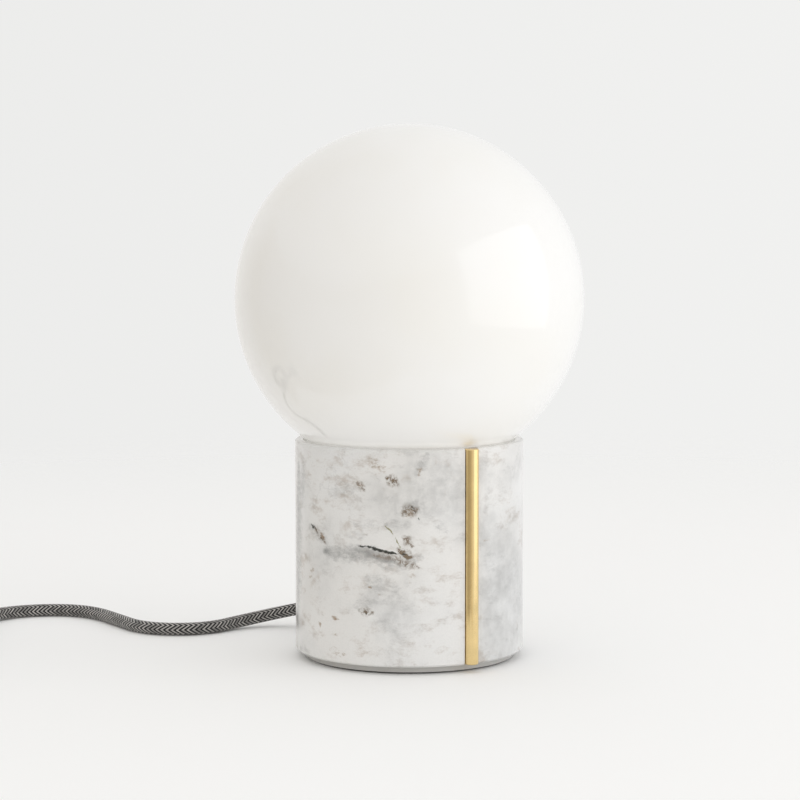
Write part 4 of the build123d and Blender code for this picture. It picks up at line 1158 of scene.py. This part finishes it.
def softbox(name, watts, azimuth, elevation, distance, width, height):
    """A rectangular lamp that faces the globe."""
    light = bpy.data.lights.new(name, "AREA")
    light.shape = "RECTANGLE"
    light.size, light.size_y = width, height
    light.energy = watts
    lamp = linked(name, light)
    toward = direction(azimuth, elevation)
    lamp.location = Vector((0.0, 0.0, AIM_HEIGHT)) + toward * distance
    lamp.rotation_euler = toward.to_track_quat("Z", "Y").to_euler()
    lamp.visible_camera = False
    return lamp


def make_camera(scene):
    """Level across, a little above the globe's middle, and tilted down."""
    data = bpy.data.cameras.new("camera")
    data.lens = CAMERA_LENS
    data.sensor_width = CAMERA_SENSOR
    data.shift_x = CAMERA_SHIFT
    camera = linked("camera", data)
    spot = direction(0, 0) * CAMERA_DISTANCE
    camera.location = (spot.x, spot.y, CAMERA_HEIGHT)
    camera.rotation_euler = (math.radians(90 - CAMERA_TILT), 0.0, CAMERA_AZIMUTH)
    data.clip_start, data.clip_end = 0.05, 50.0
    scene.camera = camera


def make_floor(settings):
    """A disc whose far part fades out, so the backdrop's colour takes over. In reflections it
    ends not far from the lamp, as a small table top does."""
    radius = np.array(FLOOR_RINGS)[::-1, None]
    angle = np.linspace(0, 2 * math.pi, FLOOR_SEGMENTS, endpoint=False)
    points = np.stack([radius * np.cos(angle), radius * np.sin(angle), 0 * radius * angle], 2)
    floor = grid_surface("floor", points)
    material, g, shader = new_material("pale_floor", Roughness=0.9, Specular_IOR_Level=0.1)
    here = object_coordinates(g)
    grain = g.noise(here, 500.0, 4.0, 0.6)
    speckled = g.mix(grain, tinted(settings.floor, 0.985), settings.floor)
    coat(g, shader, speckled, None, grain, 0.05, 0.2 * MM)
    far = g.step(g.vector("LENGTH", here), *FLOOR_FADE)
    across = g.sums("ABSOLUTE", g.vector("DOT_PRODUCT", here, tuple(direction(90, 0))))
    ahead = g.sums("ABSOLUTE", g.vector("DOT_PRODUCT", here, tuple(direction(0, 0))))
    past_edge = g.step(g.plus(across, ahead), *MIRRORED_EDGE)
    mirrored = g.node("ShaderNodeLightPath").outputs["Is Glossy Ray"]
    far = g.sums("MAXIMUM", far, g.times(past_edge, mirrored))
    clear = g.node("ShaderNodeBsdfTransparent").outputs[0]
    principled = shader["Base Color"].node.outputs[0]
    faded = g.node("ShaderNodeMixShader", far, principled, clear)
    output = next(n for n in g.tree.nodes if n.type == "OUTPUT_MATERIAL")
    g.feed(output.inputs["Surface"], faded.outputs[0])
    floor.data.materials.append(material)


def make_room(scene, settings):
    """Light from all round: bright walls, a darker room below them, whose edge rises each side
    of a corner at the left, and a dimmer far left. The camera sees only the backdrop."""
    world = bpy.data.worlds.new("room")
    scene.world = world
    world.use_nodes = True
    world.node_tree.nodes.clear()
    g = Graph(world.node_tree)
    toward = g.node("ShaderNodeTexCoord").outputs["Generated"]
    up = g.parts(toward)["Z"]
    right = g.vector("DOT_PRODUCT", toward, tuple(direction(90, 0)))
    front = g.vector("DOT_PRODUCT", toward, tuple(direction(0, 0)))
    azimuth = g.sums("ARCTAN2", right, front)
    from_corner = g.sums("ABSOLUTE", g.plus(azimuth, -ROOM_CORNER))
    wall_foot = g.plus(WALL_FOOT, g.times(from_corner, WALL_FOOT_RISE))
    below = g.step(g.minus(up, wall_foot), WALL_FOOT_BLUR, -WALL_FOOT_BLUR)
    below = g.times(below, g.step(azimuth, *DARK_LEFT))
    below = g.times(below, g.step(azimuth, *DARK_RIGHT))
    left = g.vector("DOT_PRODUCT", toward, tuple(direction(SHADE_AZIMUTH, 0)))
    shade = g.times(g.step(left, 0.1, 0.9), g.step(up, 0.6, 0.0))
    tone = g.minus(1.0, g.times(shade, SHADE_STRENGTH))
    wall = g.mix(g.step(right, -0.6, 0.3), (1.0, 0.985, 0.96), (1.0, 1.0, 1.0))
    light = g.mix(below, wall, (0.86, 0.80, 0.71))
    light = g.mix(tone, (0.0, 0.0, 0.0), light)
    lit = g.node("ShaderNodeBackground", light, settings.room)
    dim = tinted(settings.backdrop, 0.955)
    backdrop = g.mix(g.step(right, -0.25, 0.25), dim, settings.backdrop)
    seen = g.node("ShaderNodeBackground", backdrop, 1.0)
    rays = g.node("ShaderNodeLightPath").outputs["Is Camera Ray"]
    mixed = g.node("ShaderNodeMixShader", rays, lit.outputs[0], seen.outputs[0])
    output = g.node("ShaderNodeOutputWorld")
    g.feed(output.inputs["Surface"], mixed.outputs[0])


class LAMP_OT_stage(bpy.types.Operator):
    """Camera, pale floor, backdrop and soft light"""

    bl_idname = "lamp.stage"
    bl_label = "Studio"

    def execute(self, context):
        settings = context.scene.lamp_studio
        context.scene.view_settings.view_transform = "Standard"
        make_camera(context.scene)
        make_floor(settings)
        make_room(context.scene, settings)
        softbox("window", settings.key, *WINDOW)
        softbox("panel", settings.fill, *PANEL).visible_glossy = False
        return {"FINISHED"}



# ---------------------------------------------------------------- panel and main


OPERATORS = (
    LAMP_OT_cord,
    LAMP_OT_plug,
    LAMP_OT_marble,
    LAMP_OT_globe,
    LAMP_OT_brass_bar,
    LAMP_OT_seat_and_foot,
    LAMP_OT_fittings,
    LAMP_OT_lampholder,
    LAMP_OT_bulb,
    LAMP_OT_wiring,
    LAMP_OT_stage,
)


class LAMP_PT_panel(bpy.types.Panel):
    """Lists the lamp's pieces and their settings"""

    bl_idname = "LAMP_PT_panel"
    bl_label = "Globe Table Lamp"
    bl_space_type = "VIEW_3D"
    bl_region_type = "UI"
    bl_category = "Lamp"

    def draw(self, context):
        for operator in OPERATORS:
            self.layout.operator(operator.bl_idname)
        for name, kind in SETTINGS.items():
            box = self.layout.box()
            for setting in kind.__annotations__:
                box.prop(getattr(context.scene, name), setting)


def register():
    for kind in (*SETTINGS.values(), *OPERATORS, LAMP_PT_panel):
        bpy.utils.register_class(kind)
    for name, kind in SETTINGS.items():
        setattr(bpy.types.Scene, name, bpy.props.PointerProperty(type=kind))


def unregister():
    for name in SETTINGS:
        delattr(bpy.types.Scene, name)
    for kind in (LAMP_PT_panel, *reversed(OPERATORS), *reversed(SETTINGS.values())):
        bpy.utils.unregister_class(kind)


def main():
    """Registers the add-on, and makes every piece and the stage."""
    register()
    for operator in OPERATORS:
        family, action = operator.bl_idname.split(".")
        getattr(getattr(bpy.ops, family), action)()


if __name__ == "__main__":
    main()
